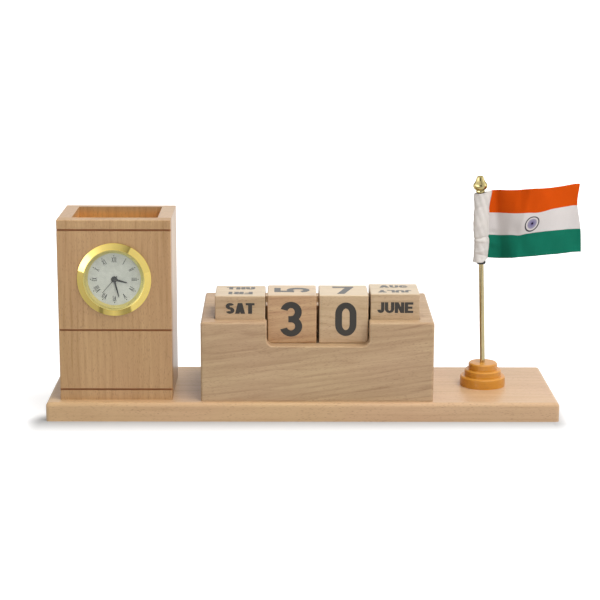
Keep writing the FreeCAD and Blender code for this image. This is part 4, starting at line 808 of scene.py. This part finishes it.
class DESKSET_OT_wood(DeskSetOperator, bpy.types.Operator):
    """Board, pen stand and calendar block"""
    bl_idname = "deskset.wood"
    bl_label = "Board, Stand and Block"

    UPRIGHT = (0, math.pi / 2, 0)
    # the stand's panels but for the front: coat, and the place in the log
    PANELS = {
        "back": (0.5, (40, 9, 30)), "left": (0.5, (80, 60, 20)),
        "right": (0.68, (210, 70, 40)), "floor": (0.5, (5, 20, 60)),
    }
    # heights of the saw cuts' middles, and half the width and the depth of one, in millimetres
    CUTS = (6.6, 43.75, 105.35)
    CUT_HALF, CUT_DEPTH = 0.62, 1.5
    # the board's cast from its left to its right end, and the painted bounce light and shade deep
    # in the cup
    CAST = ((1.05, 1.06, 0.98, 1), (0.98, 0.96, 1.0, 1))
    CUP_BOUNCE_TINT = (1.76, 1.34, 0.72, 1)
    CUP_TOP, CUP_FADE = 123.0, 5.0

    def build(self, scene):
        look = scene.desk_wood
        stand = (look.stand_light, look.stand_dark, look)
        made, shader, wood = beech(
            "board_beech", look.board_light, look.board_dark, look, contrast=1.1, coat=0.2,
            gloss=0.16, location=(0, 30, 55), rotation=(0, 0, 0.01))
        along = remap(axes(object_mm(shader))[0], -150.0, 120.0)
        feed(shader, Base_Color=tint(1.0, wood, tint(along, *self.CAST), blend="MULTIPLY"))
        dress("base_board", made)
        dress("calendar_block", beech(
            "block_beech", look.block_light, look.block_dark, look, coat=0.08, contrast=1.7,
            location=(130, 12, -70), rotation=(0, 0.13, 0.0))[0])
        for part, (coat, spot) in self.PANELS.items():
            made, shader, wood = beech(
                f"stand_{part}_beech", *stand, coat=coat, location=spot, rotation=self.UPRIGHT)
            self.paint_cup_bounce(shader, wood)
            dress(f"pen_stand_{part}", made)
        made, shader, wood = beech(
            "stand_front_beech", *stand, location=(10, 35, 60), rotation=self.UPRIGHT)
        _, y, z = axes(object_mm(shader))
        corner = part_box("pen_stand_front")[0] / MM
        cut = highest(*(
            remap(abs(z - (corner.z + level)), self.CUT_HALF, self.CUT_HALF + 0.13, 1.0, 0.0)
            for level in self.CUTS))
        inside = remap(y, corner.y + 0.12, corner.y + 0.3)
        deep = remap(y, corner.y + self.CUT_DEPTH + 0.2, corner.y + self.CUT_DEPTH)
        feed(shader, Base_Color=tint(inside * cut * deep, wood, rgba(look.groove)))
        dress("pen_stand_front", made)

    def paint_cup_bounce(self, shader, wood):
        """Paints the warm bounce light and shade down inside the pen cup."""
        x, y, z = axes(object_mm(shader))
        low, high = (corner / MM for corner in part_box("pen_stand_floor"))
        mask = remap(z, self.CUP_TOP, self.CUP_TOP - self.CUP_FADE)
        for value, start, end in ((x, low.x, high.x), (y, low.y, high.y)):
            mask = mask * remap(value, start - 0.3, start + 0.1)
            mask = mask * remap(value, end + 0.3, end - 0.1)
        feed(shader, Base_Color=tint(mask, wood, self.CUP_BOUNCE_TINT, blend="MULTIPLY"))


class DESKSET_OT_cubes(DeskSetOperator, bpy.types.Operator):
    """The four calendar cubes and their printing"""
    bl_idname = "deskset.cubes"
    bl_label = "Calendar Cubes"

    # each cube's place in the log and its turn there, its contrast and its shade
    GRAINS = {
        "day_cube": ((3, 40, 25), (0, 0, 0), 1.5, 0.95),
        "digit_cube_left": ((60, 22, 31), (0, 0.1, 0.0), 1.6, 1.0),
        "digit_cube_right": ((140, 55, 12), (0, 0, 0.1), 1.2, 1.0),
        "month_cube": ((220, 35, 48), (0, 0, 0), 1.6, 0.94),
    }
    # the numbers on the front, top, back, left, right and bottom, which one lies on its side,
    # the front one's shift in millimetres, and the numbers' shares of the usual height and width
    DIGITS = {
        "digit_cube_left": ("350214", 1, (-0.6, 0.1), 1.035, 1.0),
        "digit_cube_right": ("072168", None, (1.25, 0.1), 1.0, 0.95),
    }
    # two words a face, the second upside down; width of a line and of its stems in millimetres
    WORDS = {
        "day_cube": ("SAT SUN THU FRI MON TUE WED SAT SUN MON TUE WED", 17.6, 2.45),
        "month_cube": ("JUNE MAY AUG JULY JAN FEB MAR APR SEPT OCT NOV DEC", 21.9, 2.05),
    }
    WORD_SHARE = {
        "TUE": 0.95, "FRI": 0.86, "MON": 1.08, "WED": 1.1, "JUNE": 1.0, "JULY": 0.95, "SEPT": 0.98,
    }
    MONTH_SHARE = 0.8
    WORD_RISE, WORD_CAP, INK_DEPTH = 7.0 * MM, 1.45 * MM, 0.06 * MM

    def build(self, scene):
        look, wood = scene.desk_print, scene.desk_wood
        ink = metal("cube_ink", look.ink, roughness=0.5, spread=0.15, metallic=0.0, marks=2.0,
                    Coat_Weight=0.75, Coat_Roughness=0.3)
        for cube, (location, rotation, contrast, shade) in self.GRAINS.items():
            light, dark = (rgba(tone, shade) for tone in (wood.cube_light, wood.cube_dark))
            if cube == "digit_cube_left":
                light, dark = wood.ripe_light, wood.ripe_dark
            made, shader, grain = beech(
                f"{cube}_beech", light, dark, wood, 1.2, contrast=contrast, coat=0.42,
                location=location, rotation=rotation)
            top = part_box(cube)[1].z / MM
            # painted light: the upper faces and their top edges are painted paler, as light from
            # above falls on them
            top_light = remap(axes(object_mm(shader))[2], top - 0.8, top - 0.1, 0.0, 0.4)
            feed(shader, Base_Color=tint(top_light, grain, rgba(wood.cube_top_light)))
            dress(cube, made)
        for cube, numbers in self.DIGITS.items():
            self.digits(cube, *numbers, look, ink)
        for cube, (names, wide, stem) in self.WORDS.items():
            self.words(cube, names.split(), wide * MM, stem * MM, look, ink)

    def faces(self, cube):
        """The frames on a cube's front, top, back, left, right and bottom."""
        low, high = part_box(cube)
        mid = (low + high) / 2
        return [
            facing((mid.x, low.y, mid.z), (1, 0, 0), UP),
            facing((mid.x, mid.y, high.z), (1, 0, 0), (0, 1, 0)),
            facing((mid.x, high.y, mid.z), (-1, 0, 0), UP),
            facing((low.x, mid.y, mid.z), (0, -1, 0), UP),
            facing((high.x, mid.y, mid.z), (0, 1, 0), UP),
            facing((mid.x, mid.y, low.z), (1, 0, 0), (0, -1, 0)),
        ]

    def stamp(self, bm, flat, matrix, look):
        """Lays flat strokes on a face, sunk a little into the wood."""
        thicken(flat, self.INK_DEPTH + look.proud)
        join(bm, flat, matrix @ Matrix.Translation((0, 0, -self.INK_DEPTH)))

    def digits(self, cube, signs, lying, shift, tall, broad, look, ink):
        bm = bmesh.new()
        wide, high = look.digit_wide * broad, look.digit_high * tall
        stroke = look.digit_stroke * tall
        for index, (sign, matrix) in enumerate(zip(signs, self.faces(cube))):
            flat = bmesh.new()
            line_up(flat, sign, [wide], 0.0, high, -high / 2, stroke, stroke * 0.9)
            if index == 0:
                matrix = matrix @ Matrix.Translation((shift[0] * MM, shift[1] * MM, 0))
            turn = math.pi / 2 if index == lying else 0.0
            self.stamp(bm, flat, matrix @ Matrix.Rotation(turn, 4, "Z"), look)
        piece(f"{cube}_print", bm, ink, cube)

    def words(self, cube, names, wide, stem, look, ink):
        bm = bmesh.new()
        usual = 1.0 if cube == "day_cube" else self.MONTH_SHARE
        for index, text in enumerate(names):
            flat = bmesh.new()
            share = self.WORD_SHARE.get(text, usual)
            word(flat, text, wide * share, look.word_high, stem, self.WORD_CAP)
            spot = Matrix.Rotation(math.pi * (index % 2), 4, "Z")
            spot = spot @ Matrix.Translation((0, self.WORD_RISE, 0))
            self.stamp(bm, flat, self.faces(cube)[index // 2] @ spot, look)
        piece(f"{cube}_print", bm, ink, cube)


class DESKSET_OT_pole(DeskSetOperator, bpy.types.Operator):
    """Turned base, pole, stop ring and finial"""
    bl_idname = "deskset.pole"
    bl_label = "Base and Pole"

    # the knob's foot along the pole, and its outline from there: radius and height in millimetres
    KNOB_FOOT = 108.3 * MM
    KNOB = (
        (1.6, 0), (2.1, 0), (2.55, 0.2), (2.7, 0.5), (2.7, 1.2), (2.55, 1.45), (2.6, 1.7),
        (3.15, 2.05), (3.75, 2.55), (4.15, 3.2), (4.38, 3.9), (4.42, 4.55), (4.25, 5.25),
        (3.85, 6.0), (3.35, 6.7), (2.95, 7.35), (2.65, 8.1), (2.4, 8.8), (2.15, 9.5),
        (1.95, 10.0), (1.7, 10.3), (1.3, 10.5), (0.7, 10.65), (0, 10.7),
    )

    def build(self, scene):
        look = scene.desk_base
        made, shader = material("base_lacquer", IOR=1.5, Coat_Weight=0.4, Coat_Roughness=0.12)
        grain = beech_grain(
            Vector=object_mm(shader, location=(0, 20, 30)), Light=rgba(look.lacquer),
            Dark=rgba(look.lacquer_dark), Fleck=rgba(look.lacquer_dark, 0.5),
            Ring_Gap=3.0, Flecks=0.3, Contrast=0.8)
        feed(shader, Base_Color=grain["Color"], Roughness=grain["Roughness"],
             Normal=bump(grain["Height"], 0.1, 0.0001))
        dress("flag_base", made)
        rim = {"Specular_Tint": rgba(look.rim)}
        dress("flag_pole", metal("pole_brass", look.brass, roughness=0.16, spread=0.1, **rim))
        knob = metal("finial_brass", look.knob, roughness=0.09, spread=0.04, **rim)
        self.knob(knob, scene.desk_flag.lean)
        rubber = metal("ring_rubber", (0.02, 0.02, 0.02), roughness=0.6, metallic=0.0)
        dress("stop_ring", rubber)

    def knob(self, finish, lean):
        bm = bmesh.new()
        verts = [bmesh.ops.create_vert(bm, co=(r * MM, 0, z * MM))["vert"][0]
                 for r, z in self.KNOB]
        edges = [bm.edges.new(pair) for pair in zip(verts, verts[1:])]
        bmesh.ops.spin(bm, geom=verts + edges, axis=UP, cent=(0, 0, 0), angle=2 * math.pi,
                       steps=48, use_merge=True)
        bmesh.ops.remove_doubles(bm, verts=bm.verts, dist=1e-7)
        matrix = pole_frame(lean) @ Matrix.Translation((0, 0, self.KNOB_FOOT))
        bmesh.ops.transform(bm, matrix=matrix, verts=bm.verts)
        bmesh.ops.recalc_face_normals(bm, faces=bm.faces)
        piece("finial_knob", bm, finish, "pole", ("finial",), smooth=True)


class DESKSET_OT_flag(DeskSetOperator, bpy.types.Operator):
    """The flag's cloth, its sleeve and the seam between them"""
    bl_idname = "deskset.flag"
    bl_label = "Flag"

    # In this class lengths are millimetres, u is the reach from the pole's axis, w the height
    # along the pole, and rise the share of the cloth's height.
    # The cloth's line seen from above: reach, and distance behind the pole's plane
    LINE = (
        (-5, -0.9), (4, -1.5), (7, -1.2), (9.5, -1.1), (11.5, -1.9), (13.5, -3.6), (16.5, -6.3),
        (20, -8.7), (23.5, -10.4), (25, -10.75), (27.5, -10.8), (31, -10.4), (36, -9.3),
        (46, -5.4), (54, -2.3), (64, 0.3), (70, 0.8),
    )
    # pushes in the cloth: reach, share of height, spread along and up, rise and depth
    PUSHES = (
        (12, 1.0, 6, 0.3, 0.4, 0), (42, 1.0, 12, 0.28, -1.1, 0), (60, 1.0, 5, 0.3, 0.6, 0),
        (24, 0.667, 9, 0.18, -0.9, 0), (60, 0.667, 8, 0.2, 0.8, 0),
        (22.4, 0.333, 3.5, 0.12, -0.9, 0.9),
        (30, 0.0, 60, 0.16, -0.75, 0), (47, 0.0, 8, 0.2, -0.6, 0), (35, 0.667, 6.5, 0.12, -1.4, 0),
        (17, 0.15, 3.0, 0.2, 0, -0.7), (25, 0.1, 3.5, 0.13, 0, 0.9), (32, 0.28, 5.0, 0.1, 0, 0.6),
        (10, 0.85, 2.5, 0.35, 0, 0.9), (33, 0.85, 6.0, 0.2, 0, 0.6), (50, 0.55, 3.0, 0.12, 0, -0.5),
        (47, 0.2, 4.0, 0.14, 0, -0.7), (56, 0.8, 3.0, 0.16, 0, 0.7), (7.5, 0.36, 3.0, 0.05, 0, 0.8),
        (8, 0.2, 3.0, 0.05, 0, -0.6), (58, 0.12, 3.5, 0.12, 0, 0.6),
    )
    # folds in the sleeve: height, slope, spread and depth
    FOLDS = (
        (80.2, 0.22, 0.75, -0.65), (78.3, -0.12, 0.8, 0.5), (71.8, 0.3, 0.8, 0.45),
        (69.6, -0.25, 0.7, -0.6), (99.5, 0.15, 1.6, -0.25), (88.0, -0.2, 2.2, 0.25),
    )
    SLEEVE_COVER = 5.0         # the part of the reach that the sleeve covers
    SLEEVE_FLAT = (25.0, 41.7)
    SLEEVE_FOOT, SLEEVE_HIGH = 66.0, 42.0
    THREAD = 0.22
    SAG = 0.2216               # what a step back lowers the cloth by
    CREASE = (12, 44, -12.0)   # from and to a reach, and how far the line shifts over the height
    STITCHES = 19
    WHEEL_SPOT, WHEEL_DROP = 26.7, 0.8
    WHEEL_HALF, WHEEL_LEAN = (4.4, 5.2), 0.28
    SPOKES = 24

    def build(self, scene):
        look = scene.desk_flag
        self.frame = pole_frame(look.lean)
        sleeve = self.sleeve(look)
        cloth = self.cloth(look)
        thread = self.stitches(look)

    def line(self, u):
        """The cloth's distance behind the pole's plane at a reach."""
        k = next((k for k, (u1, _) in enumerate(self.LINE[1:]) if u <= u1), len(self.LINE) - 2)
        (u0, y0), (u1, y1) = self.LINE[k:k + 2]
        before = self.LINE[max(k - 1, 0)]
        after = self.LINE[min(k + 2, len(self.LINE) - 1)]
        t = (u - u0) / (u1 - u0)
        in_slope = (y1 - before[1]) / (u1 - before[0]) * (u1 - u0)
        out_slope = (after[1] - y0) / (after[0] - u0) * (u1 - u0)
        return ((2 * t**3 - 3 * t**2 + 1) * y0 + (t**3 - 2 * t**2 + t) * in_slope
                + (3 * t**2 - 2 * t**3) * y1 + (t**3 - t**2) * out_slope)

    def seam(self, w):
        """The reach of the seam."""
        return 3.8 + 0.04 * (w - 68.0) + 1.7 * hump(w, 110, 7) + 0.6 * hump(w, 75.5, 3.5)

    def hem(self, w, rise):
        """The reach of the sleeve's far side: it bulges at the middle and flares at the foot."""
        return -4.3 - 0.4 * hump(w, 88, 8) - 0.8 * hump(w, 66, 4.5) + 0.3 * rise

    def height(self, look, rise):
        return look.foot / MM + look.high / MM * rise

    def point(self, look, u, rise):
        """A point of the cloth for a reach and a share of its height."""
        start, stop, shift = self.CREASE
        crease = min(share_of(u - start, 12), share_of(stop - u, 16))
        y = self.line(u + (rise - 0.5) * (1.6 * share_of(u - 7, 4) + shift * crease))
        w = self.height(look, rise) - self.SAG * (y + 5.5 * math.sin(2 * math.pi * u / 76))
        for at, share, along, up, lift, depth in self.PUSHES:
            push = hump(u, at, along) * hump(rise, share, up)
            y += depth * push
            w += lift * push
        ripple = (0.22 * math.sin(0.31 * u + 7.0 * rise)
                  + 0.14 * math.sin(0.9 * u - 11.0 * rise + 1.3))
        return u, y + share_of(u - 6, 20) * ripple, w

    def grid(self, across, up):
        """A square mesh from -0.5 to 0.5 with flat coordinates, to be given a sheet's shape."""
        bm = bmesh.new()
        bm.loops.layers.uv.new("UVMap")
        bmesh.ops.create_grid(bm, x_segments=across, y_segments=up, size=0.5, calc_uvs=True)
        return bm

    def settle(self, bm):
        """Brings a mesh to the pole."""
        bmesh.ops.transform(bm, matrix=self.frame, verts=bm.verts)

    def cloth(self, look):
        bm = self.grid(120, 80)
        for vert in bm.verts:
            share, rise = vert.co.x + 0.5, vert.co.y + 0.5
            start = self.seam(self.height(look, rise)) - 1.2
            end = look.reach / MM + 0.35 - 2.3 * hump(rise, 0.7, 0.25)
            vert.co = Vector(self.point(look, start + (end - start) * share, rise)) * MM
        self.settle(bm)
        bmesh.ops.recalc_face_normals(bm, faces=bm.faces)
        bmesh.ops.solidify(bm, geom=bm.faces[:], thickness=look.thick)
        return piece("flag_sheet", bm, self.stripes(look), "flag",
                     ("flag_cloth",), smooth=True)

    def sleeve(self, look):
        bm = self.grid(72, 120)
        wall = look.thick / MM
        for vert in bm.verts:
            angle = 2 * math.pi * (vert.co.x + 0.5)
            rise = vert.co.y + 0.5
            w = self.SLEEVE_FOOT + self.SLEEVE_HIGH * rise
            left, right = self.hem(w, rise) + wall, self.seam(w) + 0.25 - wall
            cos, sin = math.cos(angle), math.sin(angle)
            x = (left + right) / 2 + (right - left) / 2 * cos
            tip = share_of(x - 0.6, right - 0.6)
            flare = hump(w, 65.6, 1.6) * (1 - tip)
            deep = 2.3 * (1 - tip) ** 0.8 + 0.12 + 0.75 * flare
            y = deep * sin + self.line(max(x, 0.0)) * tip
            w += (2.1 * rise - 0.1) * max(0.0, x / 7) ** 1.3
            w += 1.9 * (1 - rise) * max(0.0, x / 4.5) ** 1.5
            w -= (0.5 + 0.9 * (0.5 - 0.5 * sin)) * flare
            folds = sum(depth * hump(w, at + slope * x, spread)
                        for at, slope, spread, depth in self.FOLDS)
            folds += 0.12 * math.sin(0.55 * w + 1.7 * x) + 0.08 * math.sin(1.3 * w - x)
            y += folds * (-1 if sin < 0 else 1) * abs(sin) ** 0.5 * (1 - 0.5 * tip)
            x -= 0.8 * folds * max(0.0, -cos)
            vert.co = Vector((x, y, w)) * MM
        bmesh.ops.remove_doubles(bm, verts=bm.verts, dist=1e-6)
        self.settle(bm)
        bmesh.ops.recalc_face_normals(bm, faces=bm.faces)
        made, shader = material("sleeve_satin", Specular_IOR_Level=0.15)
        flat = sheet_mm(shader, self.SLEEVE_FLAT[0], self.SLEEVE_HIGH)
        weave, wear = self.satin(shader, flat, 0.4, 0.6, 0.1)
        shade = remap(weave["Tone"], 0.2, 0.7)
        shade = tint(shade, rgba(look.sleeve, 0.9), rgba(look.sleeve))
        shade = tint(wear["Mask"], shade, (0.95, 0.94, 0.92, 1), blend="MULTIPLY")
        feed(shader, Base_Color=shade)
        sleeve = piece("flag_sleeve", bm, made, "flag", ("flag_cloth",), smooth=True)
        solid = sleeve.modifiers.new("wall", "SOLIDIFY")
        solid.thickness = look.thick
        solid.offset = 1.0
        return sleeve

    def stitches(self, look):
        """A row of stitches along the seam, on both sides of the cloth."""
        bm = bmesh.new()
        for index in range(self.STITCHES):
            rise = (index + 0.5) / self.STITCHES
            u, y, w = self.point(look, self.seam(self.height(look, rise)) - 0.25, rise)
            for side in (-1, 1):
                knot = bmesh.ops.create_uvsphere(bm, u_segments=8, v_segments=5, radius=0.5)
                knot = knot["verts"]
                bmesh.ops.scale(bm, vec=(0.24 * MM, 0.2 * MM, 1.3 * MM), verts=knot)
                spot = (u * MM, (y + side * 0.62) * MM, w * MM)
                bmesh.ops.translate(bm, vec=spot, verts=knot)
        self.settle(bm)
        thread = metal("flag_thread", look.sleeve, roughness=0.7, metallic=0.0)
        return piece("flag_stitches", bm, thread, "flag", ("flag_cloth",),
                     smooth=True)

    def satin(self, shader, flat, marks, roughness, spread):
        """Gives a cloth its weave and its wear; returns both for its colour."""
        weave = plain_weave(Vector=flat, Thread=self.THREAD)
        wear = fine_wear(
            Vector=object_mm(shader), Size=marks, Roughness=roughness, Spread=spread)
        feed(shader, Roughness=wear["Roughness"], Normal=bump(weave["Height"], 0.3, 0.00005))
        return weave, wear

    def stripes(self, look):
        made, shader = material("flag_satin", Specular_IOR_Level=0.03)
        flat = sheet_mm(shader, look.reach / MM - self.SLEEVE_COVER, look.high / MM)
        across, along, _ = axes(flat)
        third = look.high / MM / 3
        lower = remap(along, third - 0.05, third + 0.05, 1.0, 0.0)
        upper = remap(along, 2 * third - 0.05, 2 * third + 0.05)
        shade = tint(lower, rgba(look.white), rgba(look.green))
        shade = tint(upper, shade, rgba(look.orange))
        mask, paint = self.wheel(look, flat)
        shade = tint(mask, shade, paint)
        shade = tint(remap(across, 1.15, 1.25, 1.0, 0.0), shade, rgba(look.white))
        weave, wear = self.satin(shader, flat, 0.25, 0.5, 0.12)
        for mask, dark in ((remap(weave["Tone"], 0.2, 0.7), 0.88), (wear["Mask"], 0.95)):
            worn = tint(mask, rgba(WHITE, dark), WHITE)
            shade = tint(1.0, shade, worn, blend="MULTIPLY")
        feed(shader, Base_Color=shade)
        return made

    def wheel(self, look, flat):
        """The wheel's mask and colour: a dark rim, a violet round of spokes and a dark hub."""
        x, y, _ = axes(place(
            flat, location=(-self.WHEEL_SPOT, self.WHEEL_DROP - look.high / MM / 2, 0)))
        x = (x - y * self.WHEEL_LEAN) / self.WHEEL_HALF[0]
        y = y / self.WHEEL_HALF[1]
        radius = (x * x + y * y).calc("SQRT")
        rim = remap(abs(radius - 0.93), 0.07, 0.1, 0.92, 0.0)
        ray = abs((y.calc("ARCTAN2", x) * (self.SPOKES / 2)).calc("SINE"))
        spoke = remap(ray * radius, 0.1, 0.34, 0.95, 0.55) * remap(radius, 0.58, 0.72, 1.0, 0.0)
        hub = remap(radius, 0.13, 0.18, 1.0, 0.0)
        dark = highest(hub, radius.calc("GREATER_THAN", 0.8))
        return highest(rim, spoke, hub), tint(dark, rgba(look.navy), rgba(look.rim))


class DESKSET_OT_clock(DeskSetOperator, bpy.types.Operator):
    """The clock's face: bezel, lens, dial, numerals and hands"""
    bl_idname = "deskset.clock"
    bl_label = "Clock Face"

    NUMERALS = "I II III IV V VI VII VIII IX X XI XII".split()
    SIGN_WIDTH = {"I": 0.34 * MM, "V": 1.35 * MM, "X": 1.4 * MM}
    SIGN_GAP = 0.36 * MM
    PAINT_DEPTH = 0.04 * MM
    # how much painted light brightens the inner ring, clockwise from the top in degrees
    PAINTED_RING_LIGHT = ((-150, 0.0), (-60, 0.1), (0, 0.7), (45, 1.0), (100, 1.0), (150, 0.2))
    LIP = 0.45                 # width of the bezel's satin lip in millimetres

    def build(self, scene):
        look = scene.desk_clock
        dress("clock_bezel", self.bezel(look))
        dress("inner_ring", self.ring(look))
        dress("clock_dial", metal("dial_satin", look.dial, roughness=0.45, metallic=0.0))
        paint = metal("hand_paint", look.paint, roughness=0.4, metallic=0.0)
        for hand in ("hour_hand", "minute_hand", "second_hand"):
            dress(hand, paint)
        dress("clock_crystal", self.glass())
        bm = bmesh.new()
        thin = self.SIGN_WIDTH["I"]
        for hour, numeral in enumerate(self.NUMERALS, 1):
            flat = bmesh.new()
            widths = [self.SIGN_WIDTH[sign] for sign in numeral]
            line_up(flat, numeral, widths, self.SIGN_GAP, look.numeral_high, look.numeral_foot,
                    thin, thin)
            dot = bmesh.ops.create_circle(
                flat, cap_ends=True, segments=20, radius=look.dot_radius)["verts"]
            bmesh.ops.translate(flat, vec=(0, look.dot_circle, 0), verts=dot)
            thicken(flat, self.PAINT_DEPTH)
            join(bm, flat, Matrix.Rotation(-hour * math.pi / 6, 4, "Z"))
        face = facing((DIAL_CENTRE.x, DIAL_FRONT, DIAL_CENTRE.z), (1, 0, 0), UP)
        bmesh.ops.transform(bm, matrix=face, verts=bm.verts)
        piece("dial_numerals", bm, paint, "clock")

    def plating(self, shader, roughness, spread):
        """The wear of a gold part, and its coordinates across and up from the dial's centre."""
        where = object_mm(shader)
        x, _, z = axes(where)
        wear = fine_wear(Vector=where, Roughness=roughness, Spread=spread)
        return wear, x - DIAL_CENTRE.x / MM, z - DIAL_CENTRE.z / MM

    def ring(self, look):
        """Satin gold, painted paler from the top round to the right, as painted light where the
        bezel shades the ring.
        """
        made, shader = material("ring_gold", metallic=0.3)
        wear, x, z = self.plating(shader, 0.45, 0.08)
        shade = tint(around(x, z, self.PAINTED_RING_LIGHT), rgba(look.ring), rgba(look.ring_painted_light))
        shade = tint(wear["Mask"], shade, (0.94, 0.94, 0.92, 1), blend="MULTIPLY")
        feed(shader, Base_Color=shade, Roughness=wear["Roughness"],
             Normal=bump(wear["Height"], 0.05, 0.0001))
        return made

    def bezel(self, look):
        """Polished gold with a satin lip beside the lens."""
        made, shader = material("bezel_gold")
        wear, x, z = self.plating(shader, 0.05, 0.03)
        low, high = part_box("clock_crystal")
        edge = (high.x - low.x) / 2 / MM + self.LIP
        lip = remap((x * x + z * z).calc("SQRT"), edge, edge - 0.08)
        shade = tint(lip, rgba(look.gold), rgba(look.ring))
        shade = tint(wear["Mask"], shade, (0.96, 0.96, 0.94, 1), blend="MULTIPLY")
        feed(shader, Base_Color=shade, Metallic=remap(lip, 0.0, 1.0, 1.0, 0.5),
             Roughness=lip * 0.38 + wear["Roughness"],
             Normal=bump(wear["Height"], 0.012, 0.0001))
        return made

    def glass(self):
        """A clear lens that lets the light through to the dial."""
        made, shader = material("lens", roughness=0.0, IOR=1.49, Transmission_Weight=1.0)
        tree = made.node_tree
        mixed = out(tree, "MixShader", {
            0: out(tree, "LightPath", key="Is Shadow Ray"), 1: Signal(shader.outputs[0]),
            2: out(tree, "BsdfTransparent")})
        fill(next(node for node in tree.nodes if node.type == "OUTPUT_MATERIAL"), {0: mixed})
        return made


class DESKSET_OT_works(DeskSetOperator, bpy.types.Operator):
    """The clock's case and movement"""
    bl_idname = "deskset.works"
    bl_label = "Clock Works"

    WHEEL_TONE = rgb(222, 186, 104)
    # each finish: colour, roughness, how much of a metal it is, grit, and its nodes
    FINISHES = {
        "case_plastic": ((0.012, 0.012, 0.013), 0.42, 0.0, 0.12,
                         "clock_case case_back battery_hatch chip setting_knob"),
        "grip_rubber": ((0.016, 0.016, 0.016), 0.65, 0.0, 0.05, "grip_band"),
        "bright_steel": (rgb(196, 196, 194), 0.22, 1.0, 0.05,
                         "button_cell coil_core quartz_can bridge_screws stator"),
        "coil_copper": (rgb(196, 112, 66), 0.3, 1.0, 0.05, "coil_winding"),
        "board_green": (rgb(26, 92, 52), 0.4, 0.0, 0.05, "circuit_board"),
        "contact_brass": (rgb(224, 196, 130), 0.25, 1.0, 0.05, "plus_contact minus_contact"),
        "movement_plastic": (rgb(214, 212, 204), 0.45, 0.0, 0.05, "main_plate train_bridge"),
        "wheel_brass": (WHEEL_TONE, 0.22, 1.0, 0.05,
                        "cannon_pinion centre_wheel third_wheel minute_wheel hour_wheel"),
        "wheel_plastic": (rgb(206, 204, 196), 0.45, 0.0, 0.05, "intermediate_wheel"),
        "rotor_magnet": ((0.05, 0.05, 0.055), 0.35, 0.8, 0.05, "rotor"),
    }

    def build(self, scene):
        self.arbor(scene)
        for name, (tone, roughness, metallic, grit, nodes) in self.FINISHES.items():
            finish = metal(name, tone, roughness=roughness, metallic=metallic, grit=grit)
            for node in nodes.split():
                dress(node, finish)

    def arbor(self, scene):
        """The second wheel in brass; its tip in front of the dial is painted like the hands."""
        made, shader = material("arbor_brass")
        where = object_mm(shader)
        wear = fine_wear(Vector=where, Roughness=0.22, Spread=0.12)
        front = DIAL_FRONT / MM
        tip = remap(axes(where)[1], front - 0.1, front - 0.2)
        shade = tint(tip, rgba(self.WHEEL_TONE), rgba(scene.desk_clock.paint))
        feed(shader, Base_Color=shade, Metallic=1.0 - tip, Roughness=wear["Roughness"],
             Normal=bump(wear["Height"], 0.05, 0.0001))
        dress("second_wheel", made)


class DESKSET_OT_screws(DeskSetOperator, bpy.types.Operator):
    """The wood screws in the underside"""
    bl_idname = "deskset.screws"
    bl_label = "Screws"

    def build(self, scene):
        zinc = metal("zinc_steel", rgb(186, 188, 186), roughness=0.32, spread=0.2)
        for node in ("block_screws", "short_screws"):
            dress(node, zinc)


OPERATORS = (
    DESKSET_OT_stage, DESKSET_OT_wood, DESKSET_OT_cubes, DESKSET_OT_pole,
    DESKSET_OT_flag, DESKSET_OT_clock, DESKSET_OT_works, DESKSET_OT_screws,
)


class DESKSET_PT_sidebar(bpy.types.Panel):
    """Lists the desk set's settings and steps"""
    bl_label = "Desk Set"
    bl_space_type = "VIEW_3D"
    bl_region_type = "UI"
    bl_category = "Desk Set"

    def draw(self, context):
        for operator in OPERATORS:
            self.layout.operator(operator.bl_idname)
        for key, group in GROUPS.items():
            box = self.layout.box()
            box.label(text=key.replace("_", " ").title())
            for field in group.__annotations__:
                box.prop(getattr(context.scene, key), field)


CLASSES = (*GROUPS.values(), *OPERATORS, DESKSET_PT_sidebar)


def register():
    for item in CLASSES:
        bpy.utils.register_class(item)
    for key, group in GROUPS.items():
        setattr(bpy.types.Scene, key, PointerProperty(type=group))


def unregister():
    for key in GROUPS:
        delattr(bpy.types.Scene, key)
    for item in reversed(CLASSES):
        bpy.utils.unregister_class(item)


def main():
    register()
    for operator in OPERATORS:
        group, name = operator.bl_idname.split(".")
        getattr(getattr(bpy.ops, group), name)()


if __name__ == "__main__":
    main()
